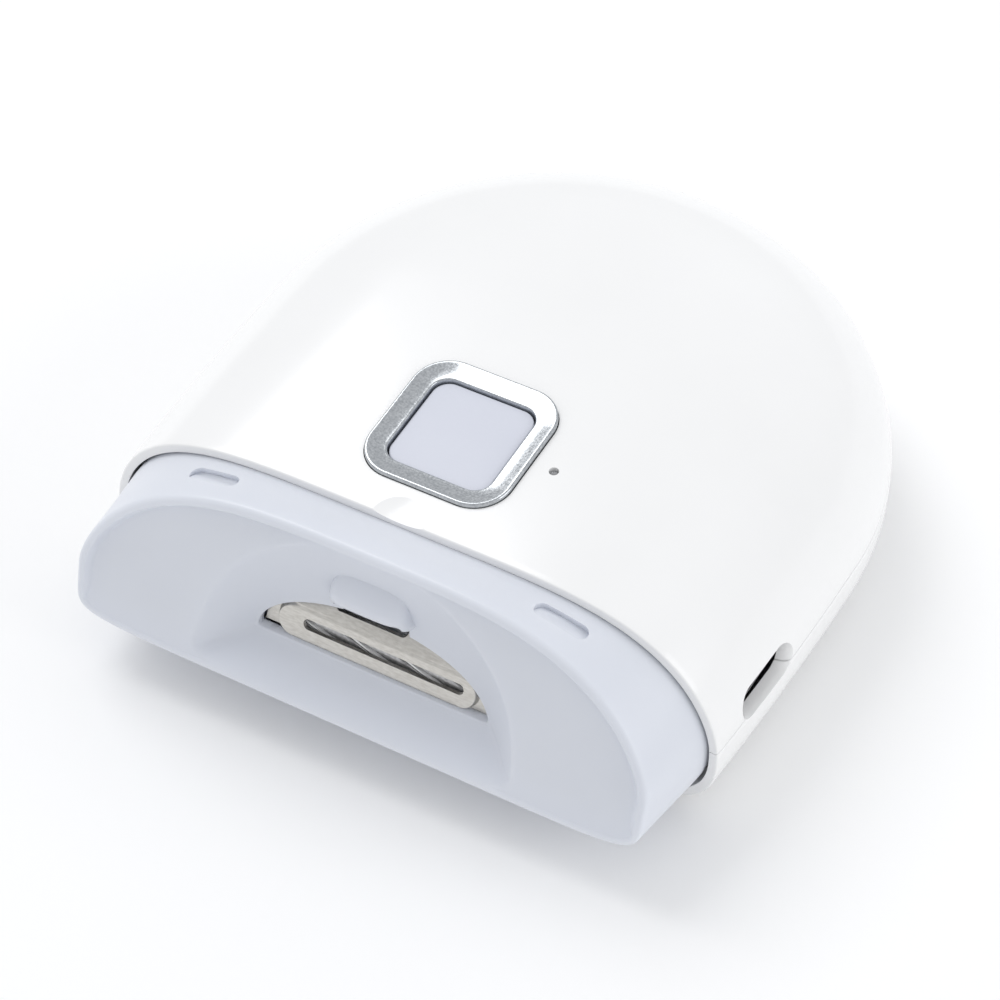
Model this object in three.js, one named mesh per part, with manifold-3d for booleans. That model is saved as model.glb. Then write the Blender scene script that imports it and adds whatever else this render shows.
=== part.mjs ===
// Electric nail trimmer: a palm-sized body of two plastic shells with a pull-off debris cap in front.
// A steel guard with a slot covers a spiral cutter roller, which a small motor drives through three gears.
// Millimetres. +X is the right side with the charging socket, -Y the front with the cap, +Z up.
// The origin is the centre of the bounding box's bottom face.
import * as THREE from "three";
import { mergeVertices } from "three/addons/utils/BufferGeometryUtils.js";
import Module from "manifold-3d";

const wasm = await Module();
wasm.setup();

// Driving dimensions of the body
const BODY_WIDTH = 78;
const FRONT_TAPER = 1.2; // how much narrower the body is at the rim, on each side
const SIDE_LENGTH = 31; // from the rim to the centre of the rounded back
const BACK_DEPTH = 39.6; // radius of the rounded back, along Y
const CAP_OVERHANG = 12.95; // the cap's foremost point, in front of the rim
const RIM_Y = CAP_OVERHANG - (SIDE_LENGTH + BACK_DEPTH + CAP_OVERHANG) / 2;
const PARTING_Z = 10.6;
const RIM_TOP_Z = 26.9;
const CROWN = 2.7; // extra height of the top towards the back
const CROWN_AT = 60; // distance back from the rim where the crown peaks
const WALL = 1.6;
const FLOOR = 1.6;
const GAP = 0.3; // between pieces that touch
const HALF_WIDTH = BODY_WIDTH / 2;

// Superellipse exponents of the upper and the lower half of the body's section
const UPPER = { across: 4.8, up: 1.705 };
const LOWER = { across: 8.5, up: 2.8 };
const FLAT_BELOW = 0.3; // the lower section would bottom out this far below its flat base

// The cap: its lip lies in a plane that leans back
const LIP_REACH = 14.9; // the lip plane's distance in front of the rim at z = 0
const LEAN = 0.307; // how far the lip plane moves back for each unit of height
const PLUG = 4.4; // how far the cap reaches in behind the rim
const CAP_WALL = 1.3;
const PLUG_SECTION = {
  half: 36.5, bottom: 1.6, middle: PARTING_Z, top: 25.85,
  upper: UPPER, lower: LOWER,
};
const LIP_SECTION = {
  half: 35.3, bottom: 6.35, middle: 12.8, top: 27.6,
  upper: { across: 3.5, up: 1.5 }, lower: { across: 9.5, up: 7.5 },
};
const PANEL_DEPTH = 1; // front panel behind the lip, at the top
const PANEL_TILT = 0.04; // the panel comes forward to the thin lower lip
const DISH_DEPTH = 4.9; // floor of the finger dish behind the lip
const DISH_CENTRE_Z = 8.5;
const DISH_RIM = { half: 19.8, height: 18 };
const DISH_FLOOR = { half: 14.3, height: 7.4 }; // just outside the window
const DISH_WALL = 1;
const WINDOW = { half: 14.6, bottom: 9.4, height: 6.8 };
const HOOD_HALF = 4.75;
const LIGHT = { z: 16.4, half: 3.9, slotHeight: 1.5 }; // the slot under the hood

// Cutter, guard and gear train
const SLOT = { x: 1, z: 11.95, half: 10, width: 1.3 };
const GUARD_DEPTH = 5.05; // front of the guard's plateau behind the lip plane
const GUARD_SHEET = 0.4;
const PLATEAU = { half: 12.4, z: 11.65, height: 3.9 };
const CUTTER_RADIUS = 2.6;
const CUTTER_BEHIND = 3.25; // cutter axis behind the plateau, square to it
const ROLLER_HALF = 11;
const MODULE = 0.3;
const TEETH = { cutter: 10, idler: 46, pinion: 9 };
const GEAR_X = 14.1;
const GEAR_WIDTH = 1.2;
const ARM_X = 12.3;
const ARM_WIDTH = 1.6;
const SHAFT_RADIUS = 0.6;
const BUSH = { inner: 0.7, outer: 1.4 };
const BULKHEAD = { front: 5.9, thickness: 1.4 };
const MOTOR = { radius: 6, flat: 5, length: 18, right: 10.9 };

// Button on top
const BUTTON_BACK = 13.15; // centre of the button behind the rim
const RING = { outer: 8.72, inner: 6.35, corner: 4.3, innerCorner: 2.1 };
const PAD = { half: 6.05, corner: 1.8 };
const PAD_TILT = 0.075; // slope of the top under the button
const LAMP = { x: 11.3, back: 13.1 };

// Charging socket on the right
const SOCKET = { back: 10.3, z: 12, half: 4.47, halfHeight: 1.63 };
const SOCKET_MOUTH = { long: 12.5, high: 5 };
const BOARD = 1; // thickness of the circuit boards

// ---------------------------------------------------------------- solids

// A closed geometry as a manifold-3d solid with its faces outwards.
function toSolid(geometry) {
  const bare = geometry.clone();
  bare.deleteAttribute("normal");
  bare.deleteAttribute("uv");
  const merged = mergeVertices(bare, 1e-4);
  const triVerts = [];
  for (let i = 0; i < merged.index.count; i += 3) {
    const [a, b, c] = merged.index.array.subarray(i, i + 3);
    if (a !== b && b !== c && c !== a) triVerts.push(a, b, c);
  }
  const build = (faces) =>
    new wasm.Manifold(
      new wasm.Mesh({
        numProp: 3,
        vertProperties: merged.attributes.position.array,
        triVerts: new Uint32Array(faces),
      }),
    );
  const solid = build(triVerts);
  return solid.volume() > 0 ? solid : build(triVerts.reverse());
}

function toGeometry(solid) {
  const mesh = solid.getMesh();
  const geometry = new THREE.BufferGeometry();
  geometry.setAttribute("position", new THREE.BufferAttribute(mesh.vertProperties, 3));
  geometry.setIndex(new THREE.BufferAttribute(mesh.triVerts, 1));
  geometry.computeVertexNormals();
  return geometry;
}

function join(first, ...others) {
  return others.reduce((sum, solid) => sum.add(solid), first);
}

function cut(first, ...others) {
  return others.reduce((rest, solid) => rest.subtract(solid), first);
}

// A solid through rings of the same number of points, closed at both ends from each ring's middle.
function loft(rings) {
  const count = rings[0].length;
  const points = rings.flat();
  const index = [];
  for (let level = 0; level + 1 < rings.length; level++)
    for (let i = 0; i < count; i++) {
      const a = level * count + i;
      const b = level * count + ((i + 1) % count);
      index.push(a, b, b + count, a, b + count, a + count);
    }
  [0, rings.length - 1].forEach((level) => {
    const middle = new THREE.Vector3();
    rings[level].forEach((p) => middle.add(p));
    points.push(middle.divideScalar(count));
    for (let i = 0; i < count; i++) {
      const edge = [level * count + i, level * count + ((i + 1) % count)];
      if (level === 0) edge.reverse();
      index.push(...edge, points.length - 1);
    }
  });
  const geometry = new THREE.BufferGeometry().setFromPoints(points);
  geometry.setIndex(index);
  return toSolid(geometry);
}

function box(x, y, z, width, depth, height) {
  return toSolid(new THREE.BoxGeometry(width, depth, height).translate(x, y, z));
}

// A box given by its corners.
function block(low, high) {
  const middle = low.map((value, i) => (value + high[i]) / 2);
  const size = low.map((value, i) => high[i] - value);
  return box(...middle, ...size);
}

// A round bar or disc between two places on an axis.
function bar(axis, at, from, to, radius, sides = 20) {
  const geometry = new THREE.CylinderGeometry(radius, radius, to - from, sides);
  const middle = (from + to) / 2;
  if (axis === "x") geometry.rotateZ(Math.PI / 2).translate(middle, at[0], at[1]);
  if (axis === "y") geometry.translate(at[0], middle, at[1]);
  if (axis === "z") geometry.rotateX(Math.PI / 2).translate(at[0], at[1], middle);
  return toSolid(geometry);
}

function tube(axis, at, from, to, inner, outer, sides = 20) {
  return cut(
    bar(axis, at, from, to, outer, sides),
    bar(axis, at, from - 1, to + 1, inner, sides),
  );
}

// Corner points of a rounded rectangle, anticlockwise.
function roundedRectangle(halfX, halfY, corner, steps = 4) {
  const points = [];
  [[1, 1], [-1, 1], [-1, -1], [1, -1]].forEach(([sx, sy], quarter) => {
    for (let i = 0; i <= steps; i++) {
      const angle = ((quarter + i / steps) * Math.PI) / 2;
      points.push([
        sx * (halfX - corner) + corner * Math.cos(angle),
        sy * (halfY - corner) + corner * Math.sin(angle),
      ]);
    }
  });
  return points;
}

// ---------------------------------------------------------------- body surface

function planHalfWidth(back) {
  const forward = Math.max(0, 1 - back / SIDE_LENGTH);
  return HALF_WIDTH - FRONT_TAPER * forward * forward;
}

function crownAt(back) {
  const forward = 1 - Math.max(0, back) / CROWN_AT;
  return CROWN * (1 - forward * forward);
}

// Height of the top surface where a plan shrunk by ratio passes.
function topZ(ratio, back) {
  const rise = (RIM_TOP_Z - PARTING_Z) * (1 - ratio ** UPPER.across) ** (1 / UPPER.up);
  return PARTING_Z + rise + crownAt(back) * (1 - ratio * ratio);
}

// How much the plan shrinks at a height of the lower half.
function lowerRatio(z) {
  const depth = (PARTING_Z - z) / (PARTING_Z + FLAT_BELOW);
  return (1 - depth ** LOWER.up) ** (1 / LOWER.across);
}

// One ring round the body: straight across the front, round the back, shrunk by ratio.
function bodyRing(ratio, inset, front, heightAt) {
  const sideSteps = 4;
  const arcSteps = 9;
  const half = [];
  for (let i = 0; i <= sideSteps; i++) {
    const back = front + ((SIDE_LENGTH - front) * i) / sideSteps;
    half.push([(planHalfWidth(back) - inset) * ratio, back]);
  }
  for (let i = 1; i <= arcSteps; i++) {
    const angle = (Math.PI / 2) * (i / arcSteps);
    half.push([
      (HALF_WIDTH - inset) * ratio * Math.cos(angle),
      SIDE_LENGTH + (BACK_DEPTH - inset) * ratio * Math.sin(angle),
    ]);
  }
  const left = half.slice(0, -1).map(([x, back]) => [-x, back]);
  return [...half, ...left.reverse()].map(
    ([x, back]) => new THREE.Vector3(x, RIM_Y + back, heightAt(back)),
  );
}

const UPPER_RATIOS = [0.995, 0.975, 0.94, 0.89, 0.82, 0.72, 0.58, 0.4, 0.15];

function upperSolid(inset, drop, front, startZ) {
  const shrink = 1 - drop / (RIM_TOP_Z - PARTING_Z);
  const rings = UPPER_RATIOS.map((ratio) =>
    bodyRing(ratio, inset, front, (back) =>
      PARTING_Z + (topZ(ratio, back) - PARTING_Z) * shrink,
    ),
  );
  return loft([bodyRing(1, inset, front, () => startZ), ...rings]);
}

const LOWER_LEVELS = [8.4, 6, 4, 2.4, 1.2, 0.4, 0];

function lowerSolid(inset, floor, front, startZ) {
  const shrink = 1 - floor / PARTING_Z;
  const rings = LOWER_LEVELS.map((z) =>
    bodyRing(lowerRatio(z), inset, front, () => PARTING_Z - (PARTING_Z - z) * shrink),
  );
  return loft([bodyRing(1, inset, front, () => startZ), ...rings]);
}

// ---------------------------------------------------------------- cap sections

// A closed outline in X and Z: arched above its middle height, flat with round corners below.
function section(shape, inset = 0, steps = 9) {
  const points = [];
  for (let i = 0; i < 4 * steps; i++) {
    const angle = (Math.PI / 2) * (i / steps);
    const power = Math.sin(angle) >= 0 ? shape.upper : shape.lower;
    const across = Math.sign(Math.cos(angle)) * Math.abs(Math.cos(angle)) ** (2 / power.across);
    const up = Math.abs(Math.sin(angle)) ** (2 / power.up);
    const reach = Math.sin(angle) >= 0 ? shape.top - shape.middle : shape.bottom - shape.middle;
    const height = reach - Math.sign(reach) * inset;
    points.push([(shape.half - inset) * across, shape.middle + height * up]);
  }
  return points;
}

// The lip's outline moved inwards, less along its thin lower edge.
function lipInset(inset) {
  return section({ ...LIP_SECTION, bottom: LIP_SECTION.bottom - 0.6 * inset }, inset);
}

// An outline placed behind the leaning lip plane, or upright at a distance behind the rim.
function leaning(outline, depth, tilt = 0) {
  return outline.map(
    ([x, z]) => new THREE.Vector3(x, RIM_Y - LIP_REACH + (LEAN + tilt) * z + depth, z),
  );
}

function upright(outline, back) {
  return outline.map(([x, z]) => new THREE.Vector3(x, RIM_Y + back, z));
}

// Outline of the finger dish, part of the way from its rim (0) to its floor (1).
function dishOutline(share, grow) {
  const steps = 16;
  const mix = (from, to) => from + (to - from) * share;
  const half = mix(DISH_RIM.half, DISH_FLOOR.half) + grow;
  const height = mix(DISH_RIM.height, DISH_FLOOR.height) + grow;
  const bottom = mix(LIP_SECTION.bottom + 0.5, WINDOW.bottom - 0.5) - grow;
  const base = Math.max(DISH_CENTRE_Z, bottom + 0.1);
  const points = [[half, bottom]];
  for (let i = 0; i <= steps; i++) {
    const angle = (Math.PI * i) / steps;
    points.push([half * Math.cos(angle), base + height * Math.sin(angle)]);
  }
  return [...points, [-half, bottom]];
}

// The dish as a solid: a shallow bowl that slopes from the panel down to the window.
function dishSolid(grow) {
  const rings = [-0.25, 0, 0.2, 0.4, 0.6, 0.8, 1].map((share) => {
    const depth = PANEL_DEPTH + (DISH_DEPTH - PANEL_DEPTH) * (1 - (1 - share) ** 1.15);
    return leaning(dishOutline(share, grow), depth + (share > 0 ? grow : 0));
  });
  return loft(rings);
}

function windowHalfAt(z) {
  return WINDOW.half * Math.sqrt(1 - ((z - WINDOW.bottom) / WINDOW.height) ** 2);
}

function windowOutline(inset) {
  const steps = 14;
  const points = [];
  for (let i = 0; i <= steps; i++) {
    const angle = (Math.PI * i) / steps;
    points.push([
      (WINDOW.half - inset) * Math.cos(angle),
      WINDOW.bottom + inset + (WINDOW.height - 2 * inset) * Math.sin(angle),
    ]);
  }
  return points;
}

function slab(outline, from, to) {
  return loft([leaning(outline, from), leaning(outline, to)]);
}

// ---------------------------------------------------------------- places worked out from the above

const leanLength = Math.hypot(1, LEAN);
const CUTTER = {
  y: RIM_Y - LIP_REACH + LEAN * PLATEAU.z + GUARD_DEPTH + CUTTER_BEHIND / leanLength,
  z: PLATEAU.z - (CUTTER_BEHIND * LEAN) / leanLength,
};
const pitchRadius = (teeth) => (MODULE * teeth) / 2;
const IDLER_Z = 12.3;
const idlerReach = pitchRadius(TEETH.cutter) + pitchRadius(TEETH.idler);
const IDLER = {
  y: CUTTER.y + Math.sqrt(idlerReach ** 2 - (IDLER_Z - CUTTER.z) ** 2),
  z: IDLER_Z,
};
const MOTOR_AXIS = {
  y: IDLER.y + pitchRadius(TEETH.idler) + pitchRadius(TEETH.pinion),
  z: IDLER_Z,
};
const at = (place) => [place.y, place.z];
const BUTTON_Y = RIM_Y + BUTTON_BACK;
const BUTTON_Z = topZ(0, BUTTON_BACK);
const SWITCH_BOARD_TOP = 20.6;
const MAIN_BOARD_TOP = SOCKET.z - SOCKET.halfHeight - 0.2;
const CASE_SCREWS = [
  [-19.5, RIM_Y + 11.5], [19.5, RIM_Y + 11.5],
  [-20, RIM_Y + 54], [20, RIM_Y + 54],
];
const BOARD_POSTS = [[26, RIM_Y + 17.5], [26, RIM_Y + 33]];
const SWITCH_POSTS = [[-11.2, BUTTON_Y + 6.5], [11.2, BUTTON_Y + 6.5]];
const FRAME_FEET = [-27, 27];
const BATTERY = { half: 15.5, front: RIM_Y + 25, back: RIM_Y + 57, low: 2.1, high: 8.6 };

// ---------------------------------------------------------------- shells

// The charging socket's flared mouth through the right side wall.
function socketMouth() {
  const outline = (long, high) =>
    roundedRectangle(long / 2, high / 2, high / 2 - 0.02).map(
      ([y, z]) => [RIM_Y + SOCKET.back + y, SOCKET.z + z],
    );
  const ring = (x, long, high) =>
    outline(long, high).map(([y, z]) => new THREE.Vector3(x, y, z));
  return loft([
    ring(HALF_WIDTH - 5, 9.7, 4),
    ring(HALF_WIDTH - 2.3, 9.7, 4),
    ring(HALF_WIDTH - 0.4, SOCKET_MOUTH.long, SOCKET_MOUTH.high),
    ring(HALF_WIDTH + 1, SOCKET_MOUTH.long + 0.6, SOCKET_MOUTH.high + 0.5),
  ]);
}

// The opening that the cap plugs into.
function capSocket() {
  const outline = section(PLUG_SECTION, -GAP);
  return loft([upright(outline, -2), upright(outline, PLUG + 0.4)]);
}

function buttonPrism(half, corner, low, high) {
  const outline = roundedRectangle(half, half, corner);
  const ring = (z) => outline.map(([x, y]) => new THREE.Vector3(x, BUTTON_Y + y, z));
  return loft([ring(low), ring(high)]);
}

function makeUpperShell() {
  const start = PARTING_Z + GAP / 2;
  const cavity = upperSolid(WALL, WALL, -1, start - 1);
  const walls = cut(upperSolid(0, 0, 0, start), cavity, capSocket(), socketMouth());
  const opened = cut(
    walls,
    buttonPrism(RING.outer + GAP, RING.corner + GAP, BUTTON_Z - 6, BUTTON_Z + 4),
    bar("z", [LAMP.x, RIM_Y + LAMP.back], BUTTON_Z - 6, BUTTON_Z + 4, 0.55, 12),
    thumbNotch(),
  );
  const inside = upperSolid(WALL / 2, WALL / 2, 1, start);
  const bosses = CASE_SCREWS.map((place) => screwBoss(place, 4.6, 2.4, 1.05, 12));
  const posts = SWITCH_POSTS.map((place) => screwBoss(place, SWITCH_BOARD_TOP + GAP, 1.5, 0.6, 4));
  const trimmed = [...bosses, ...posts].map((boss) => boss.intersect(tall(inside)));
  return join(opened, ...trimmed);
}

// A boss that hangs from the top with a blind hole from below.
function screwBoss(place, low, radius, hole, depth) {
  return cut(
    bar("z", place, low, RIM_TOP_Z + CROWN, radius, 16),
    bar("z", place, low - 1, low + depth, hole, 12),
  );
}

// The upper half's inside, carried down to the base, to trim what hangs into it.
function tall(solid) {
  return join(solid, block([-HALF_WIDTH, RIM_Y, 0], [HALF_WIDTH, -RIM_Y * 2, PARTING_Z + GAP]));
}

// A shallow scallop in the middle of the front edge, for the thumb.
function thumbNotch() {
  const ball = new THREE.SphereGeometry(9, 32, 24);
  const centre = RIM_TOP_Z + 8.35;
  return toSolid(ball.translate(0, RIM_Y - 0.4, centre));
}

function makeLowerShell() {
  const start = PARTING_Z - GAP / 2;
  const cavity = lowerSolid(WALL, FLOOR, -1, start + 1);
  const walls = cut(lowerSolid(0, 0, 0, start), cavity, capSocket(), socketMouth());
  const posts = BOARD_POSTS.map((place) =>
    tube("z", place, FLOOR - 0.4, MAIN_BOARD_TOP - BOARD - GAP, 0.6, 1.6, 12),
  );
  const feet = FRAME_FEET.map((x) =>
    tube("z", [x, RIM_Y + 9.6], FLOOR - 0.4, 4, 0.6, 1.6, 12),
  );
  const ribs = [-1, 1].map((side) =>
    block(
      [side * (BATTERY.half + 1) - 0.5, BATTERY.front + 2, FLOOR - 0.4],
      [side * (BATTERY.half + 1) + 0.5, BATTERY.back - 2, 6],
    ),
  );
  const collars = CASE_SCREWS.map((place) => bar("z", place, FLOOR - 0.4, 4.2, 3.2, 16));
  const holes = CASE_SCREWS.flatMap((place) => [
    bar("z", place, -1, 2.6, 2.3, 16),
    bar("z", place, 0, 6, 1.25, 12),
  ]);
  return cut(join(walls, ...posts, ...feet, ...ribs, ...collars), ...holes);
}

// ---------------------------------------------------------------- cap

// Bump over the work light, blended into the top of the dish.
function hoodSolid(grow) {
  const profile = [
    [17.85, DISH_DEPTH + 0.6], [17.9, 2.5], [18.3, 2], [19.2, 1.7],
    [20.2, 1.8], [21.4, 2.4], [22.4, 3.2], [22.6, 3.7],
  ];
  const ring = (x) =>
    profile.map(([z, depth]) => {
      const inner = Math.min(depth + grow, DISH_DEPTH + 2);
      return new THREE.Vector3(x, RIM_Y - LIP_REACH + LEAN * z + inner, z);
    });
  const half = HOOD_HALF - grow;
  return loft([ring(half), ring(-half)]);
}

function makeDebrisCap() {
  const plug = section(PLUG_SECTION);
  const lip = section(LIP_SECTION);
  const outer = loft([upright(plug, PLUG), upright(plug, 0), leaning(lip, 0)]);
  const plugInside = section(PLUG_SECTION, CAP_WALL);
  const hollow = loft([
    upright(plugInside, PLUG + 1),
    upright(plugInside, 0),
    leaning(section(LIP_SECTION, CAP_WALL), PANEL_DEPTH + CAP_WALL),
  ]);
  const panelStart = PANEL_DEPTH - PANEL_TILT * (LIP_SECTION.top - 4);
  const panel = loft([
    leaning(lipInset(0.7), -1),
    leaning(lipInset(0.9), 0),
    leaning(lipInset(1.2), 0.6 * panelStart, 0.6 * PANEL_TILT),
    leaning(lipInset(2), panelStart, PANEL_TILT),
  ]);
  const panelPrism = slab(lipInset(2), -2, 12);
  const dish = dishSolid(0).intersect(panelPrism);
  const cavity = cut(hollow, dishSolid(DISH_WALL));
  const shell = cut(outer, panel, dish, cavity);
  const hooded = join(shell, hoodSolid(0));
  const lightWay = slab(lightOutline(0), DISH_DEPTH - 1, 12);
  const window = slab(windowOutline(0), 0, 12);
  const pockets = [-1, 1].map((side) => pocket(side * 21.2));
  return cut(hooded, lightWay, window, ...pockets);
}

// The slot under the hood that lets the work light out.
function lightOutline(inset) {
  return roundedRectangle(LIGHT.half - inset, LIGHT.slotHeight / 2 - inset, 0.5 - inset / 2).map(
    ([x, z]) => [x, LIGHT.z + z],
  );
}

// A shallow pocket in the cap's top, deepest at its back edge.
function pocket(x) {
  const top = 26.2;
  const ring = (side) => [
    new THREE.Vector3(x + side * 3, RIM_Y - 2.1, top + 2),
    new THREE.Vector3(x + side * 3, RIM_Y - 2.1, top - 1.1),
    new THREE.Vector3(x + side * 3, RIM_Y - 4.6, top - 0.5),
    new THREE.Vector3(x + side * 3, RIM_Y - 4.6, top + 2),
  ];
  return loft([ring(-1), ring(1)]);
}

// ---------------------------------------------------------------- button

// Frame round the button: proud at its outer edge, dipping towards the pad.
function makeButtonRing() {
  const ring = (half, corner, rise) =>
    roundedRectangle(half, half, corner).map(
      ([x, y]) => new THREE.Vector3(x, BUTTON_Y + y, BUTTON_Z + PAD_TILT * y + rise),
    );
  const body = loft([
    ring(RING.outer, RING.corner, -2.6),
    ring(RING.outer, RING.corner, 0.3),
    ring(RING.outer - 0.2, RING.corner - 0.2, 0.5),
    ring(RING.inner + 0.3, RING.innerCorner + 0.2, 0.05),
  ]);
  return cut(body, buttonPrism(RING.inner, RING.innerCorner, BUTTON_Z - 5, BUTTON_Z + 3));
}

// The cap of the button, with a flange that stops it under the ring.
function makeButtonPad() {
  const ring = (inset, rise) =>
    roundedRectangle(PAD.half - inset, PAD.half - inset, PAD.corner - inset).map(
      ([x, y]) => new THREE.Vector3(x, BUTTON_Y + y, BUTTON_Z + PAD_TILT * y + rise),
    );
  return loft([
    ring(-0.7, -3.4), ring(-0.7, -2.9), ring(0, -2.89), ring(0, -0.65), ring(0.25, -0.4),
  ]);
}

// ---------------------------------------------------------------- gears and cutter

function gearSolid(place, teeth, phase, bore) {
  const pitch = pitchRadius(teeth);
  const tip = pitch + 0.8 * MODULE;
  const root = pitch - MODULE;
  const shape = new THREE.Shape();
  for (let i = 0; i < teeth; i++)
    [[-0.3, root], [-0.12, tip], [0.12, tip], [0.3, root]].forEach(([share, radius], corner) => {
      const angle = ((i + share + phase) / teeth) * 2 * Math.PI;
      const point = [radius * Math.cos(angle), radius * Math.sin(angle)];
      if (i + corner === 0) shape.moveTo(...point);
      else shape.lineTo(...point);
    });
  shape.closePath();
  const geometry = new THREE.ExtrudeGeometry(shape, { depth: GEAR_WIDTH, bevelEnabled: false });
  // The shape's own X and Y become Y and Z, and its thickness runs along X.
  geometry.applyMatrix4(new THREE.Matrix4().set(0, 0, 1, 0, 1, 0, 0, 0, 0, 1, 0, 0, 0, 0, 0, 1));
  geometry.translate(GEAR_X - GEAR_WIDTH / 2, place.y, place.z);
  return cut(toSolid(geometry), bar("x", at(place), GEAR_X - 2, GEAR_X + 2, bore, 16));
}

// The gears mesh where a tooth of one meets a gap of the other on their line of centres.
const meshAngle = Math.atan2(IDLER.z - CUTTER.z, IDLER.y - CUTTER.y);
const turns = (angle, teeth) => (angle / (2 * Math.PI)) * teeth;
const IDLER_PHASE = turns(meshAngle + Math.PI, TEETH.idler);
const CUTTER_PHASE = turns(meshAngle, TEETH.cutter) + 0.5;
const toothAtMotor = IDLER_PHASE - Math.round(IDLER_PHASE);
const PINION_PHASE = turns(Math.PI, TEETH.pinion) + 0.5 - toothAtMotor;

// Spiral roller: shallow saw teeth that twist along the axis.
function makeCutterRoller() {
  const flutes = 7;
  const lead = 47.6;
  const slices = 10;
  const ring = (x) => {
    const twist = (2 * Math.PI * (x + ROLLER_HALF)) / lead;
    const points = [];
    for (let i = 0; i < flutes; i++)
      [[0, 1], [0.14, 0.8], [0.6, 0.88]].forEach(([share, depth]) => {
        const angle = ((i + share) / flutes) * 2 * Math.PI + twist;
        points.push(
          new THREE.Vector3(
            x,
            CUTTER.y + CUTTER_RADIUS * depth * Math.cos(angle),
            CUTTER.z + CUTTER_RADIUS * depth * Math.sin(angle),
          ),
        );
      });
    return points;
  };
  const rings = [];
  for (let i = 0; i <= slices; i++) rings.push(ring(ROLLER_HALF * ((2 * i) / slices - 1)));
  const bore = bar("x", at(CUTTER), -ROLLER_HALF - 1, ROLLER_HALF + 1, SHAFT_RADIUS + 0.1, 12);
  return cut(loft(rings), bore);
}

// Formed sheet: a raised plateau with a slot, end flanges, and an upper face that slopes back.
function makeBladeGuard() {
  const stadium = (half, height, centre) =>
    roundedRectangle(half, height / 2, height / 2 - 0.02, 6)
      .map(([x, z]) => [(centre.x ?? 0) + x, centre.z + z]);
  const flangeDepth = GUARD_DEPTH + 0.7;
  const flangeTop = PLATEAU.z + PLATEAU.height / 2 + 0.1;
  const flange = slab(windowOutline(0.25), flangeDepth, flangeDepth + GUARD_SHEET).intersect(
    block([-20, RIM_Y - 20, 0], [20, RIM_Y + 9, flangeTop]),
  );
  const lean = (x, z, depth) =>
    new THREE.Vector3(x, RIM_Y - LIP_REACH + LEAN * z + depth, z);
  const slopeEdge = (z, depth) => {
    const half = windowHalfAt(z) - 0.5;
    return [
      lean(half, z, depth), lean(-half, z, depth),
      lean(-half, z, depth + GUARD_SHEET), lean(half, z, depth + GUARD_SHEET),
    ];
  };
  const slope = loft([
    slopeEdge(flangeTop - 0.3, flangeDepth),
    slopeEdge(flangeTop + 0.9, flangeDepth + 0.9),
    slopeEdge(flangeTop + 1.9, flangeDepth + 1.8),
  ]);
  const plateau = slab(
    stadium(PLATEAU.half, PLATEAU.height, PLATEAU), GUARD_DEPTH, flangeDepth + GUARD_SHEET,
  );
  const hollow = slab(
    stadium(PLATEAU.half - GUARD_SHEET, PLATEAU.height - 2 * GUARD_SHEET, PLATEAU),
    GUARD_DEPTH + GUARD_SHEET,
    flangeDepth + 2,
  );
  const slot = slab(stadium(SLOT.half, SLOT.width, SLOT), 0, 12);
  const lightNotch = slab(lightOutline(0), 0, 14);
  return cut(join(flange, slope, plateau), hollow, slot, lightNotch);
}

// Moulded frame: a bulkhead across the body, with two arms that carry the cutter and the motor.
function makeCutterFrame() {
  const outline = section(PLUG_SECTION, 1);
  const front = BULKHEAD.front;
  const back = front + BULKHEAD.thickness;
  const plate = loft([upright(outline, front), upright(outline, back)]);
  const nose = GUARD_SHEET + 0.5;
  const arm = (x, rear, rearHalf) => {
    const points = [
      [CUTTER.y - CUTTER_BEHIND + nose + 0.4, CUTTER.z - 1.2],
      [RIM_Y + front, IDLER_Z - 5.5],
      [rear, IDLER_Z - rearHalf],
      [rear, IDLER_Z + rearHalf],
      [RIM_Y + front, IDLER_Z + 5.5],
      [CUTTER.y - CUTTER_BEHIND + nose + 0.6, CUTTER.z + 1.6],
    ];
    const ring = (side) =>
      points.map(([y, z]) => new THREE.Vector3(x + (side * ARM_WIDTH) / 2, y, z));
    return loft([ring(-1), ring(1)]);
  };
  const armRight = arm(ARM_X, MOTOR_AXIS.y + 6.4, 5.9);
  const armLeft = arm(-ARM_X, RIM_Y + back, 5.5);
  const feet = FRAME_FEET.map((x) =>
    cut(
      block([x - 2.2, RIM_Y + back - 0.2, 4.3], [x + 2.2, RIM_Y + 11.8, 5.3]),
      bar("z", [x, RIM_Y + 9.6], 3, 7, 0.9, 12),
    ),
  );
  const lightShelf = block(
    [-4.5, RIM_Y + 1.5, LIGHT.z - 1.9],
    [4.5, RIM_Y + front + 0.2, LIGHT.z - 1],
  );
  const whole = join(plate, armRight, armLeft, ...feet, lightShelf);
  const tipRadius = pitchRadius(TEETH.idler) + MODULE;
  return cut(
    whole,
    bar("x", at(IDLER), GEAR_X - 1, GEAR_X + 1.2, tipRadius + 0.4, 40),
    bar("x", at(CUTTER), -20, 20, BUSH.outer + 0.1, 16),
    bar("x", at(IDLER), ARM_X - 2, ARM_X + 2, 0.9, 12),
    bar("x", at(MOTOR_AXIS), ARM_X - 2, ARM_X + 2, 2.3, 16),
    ...motorScrewPlaces().map((place) => bar("x", place, ARM_X - 2, ARM_X + 2, 0.75, 12)),
    block([28.2, RIM_Y + front - 1, 8.6], [40, RIM_Y + back + 1, 15.2]),
    block([-9.3, RIM_Y + front - 1, 22.9], [9.3, RIM_Y + back + 1, 30]),
  );
}

function motorScrewPlaces() {
  return [-1, 1].map((side) => [MOTOR_AXIS.y + 1.6, MOTOR_AXIS.z + side * 4.3]);
}

// ---------------------------------------------------------------- motor

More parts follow.
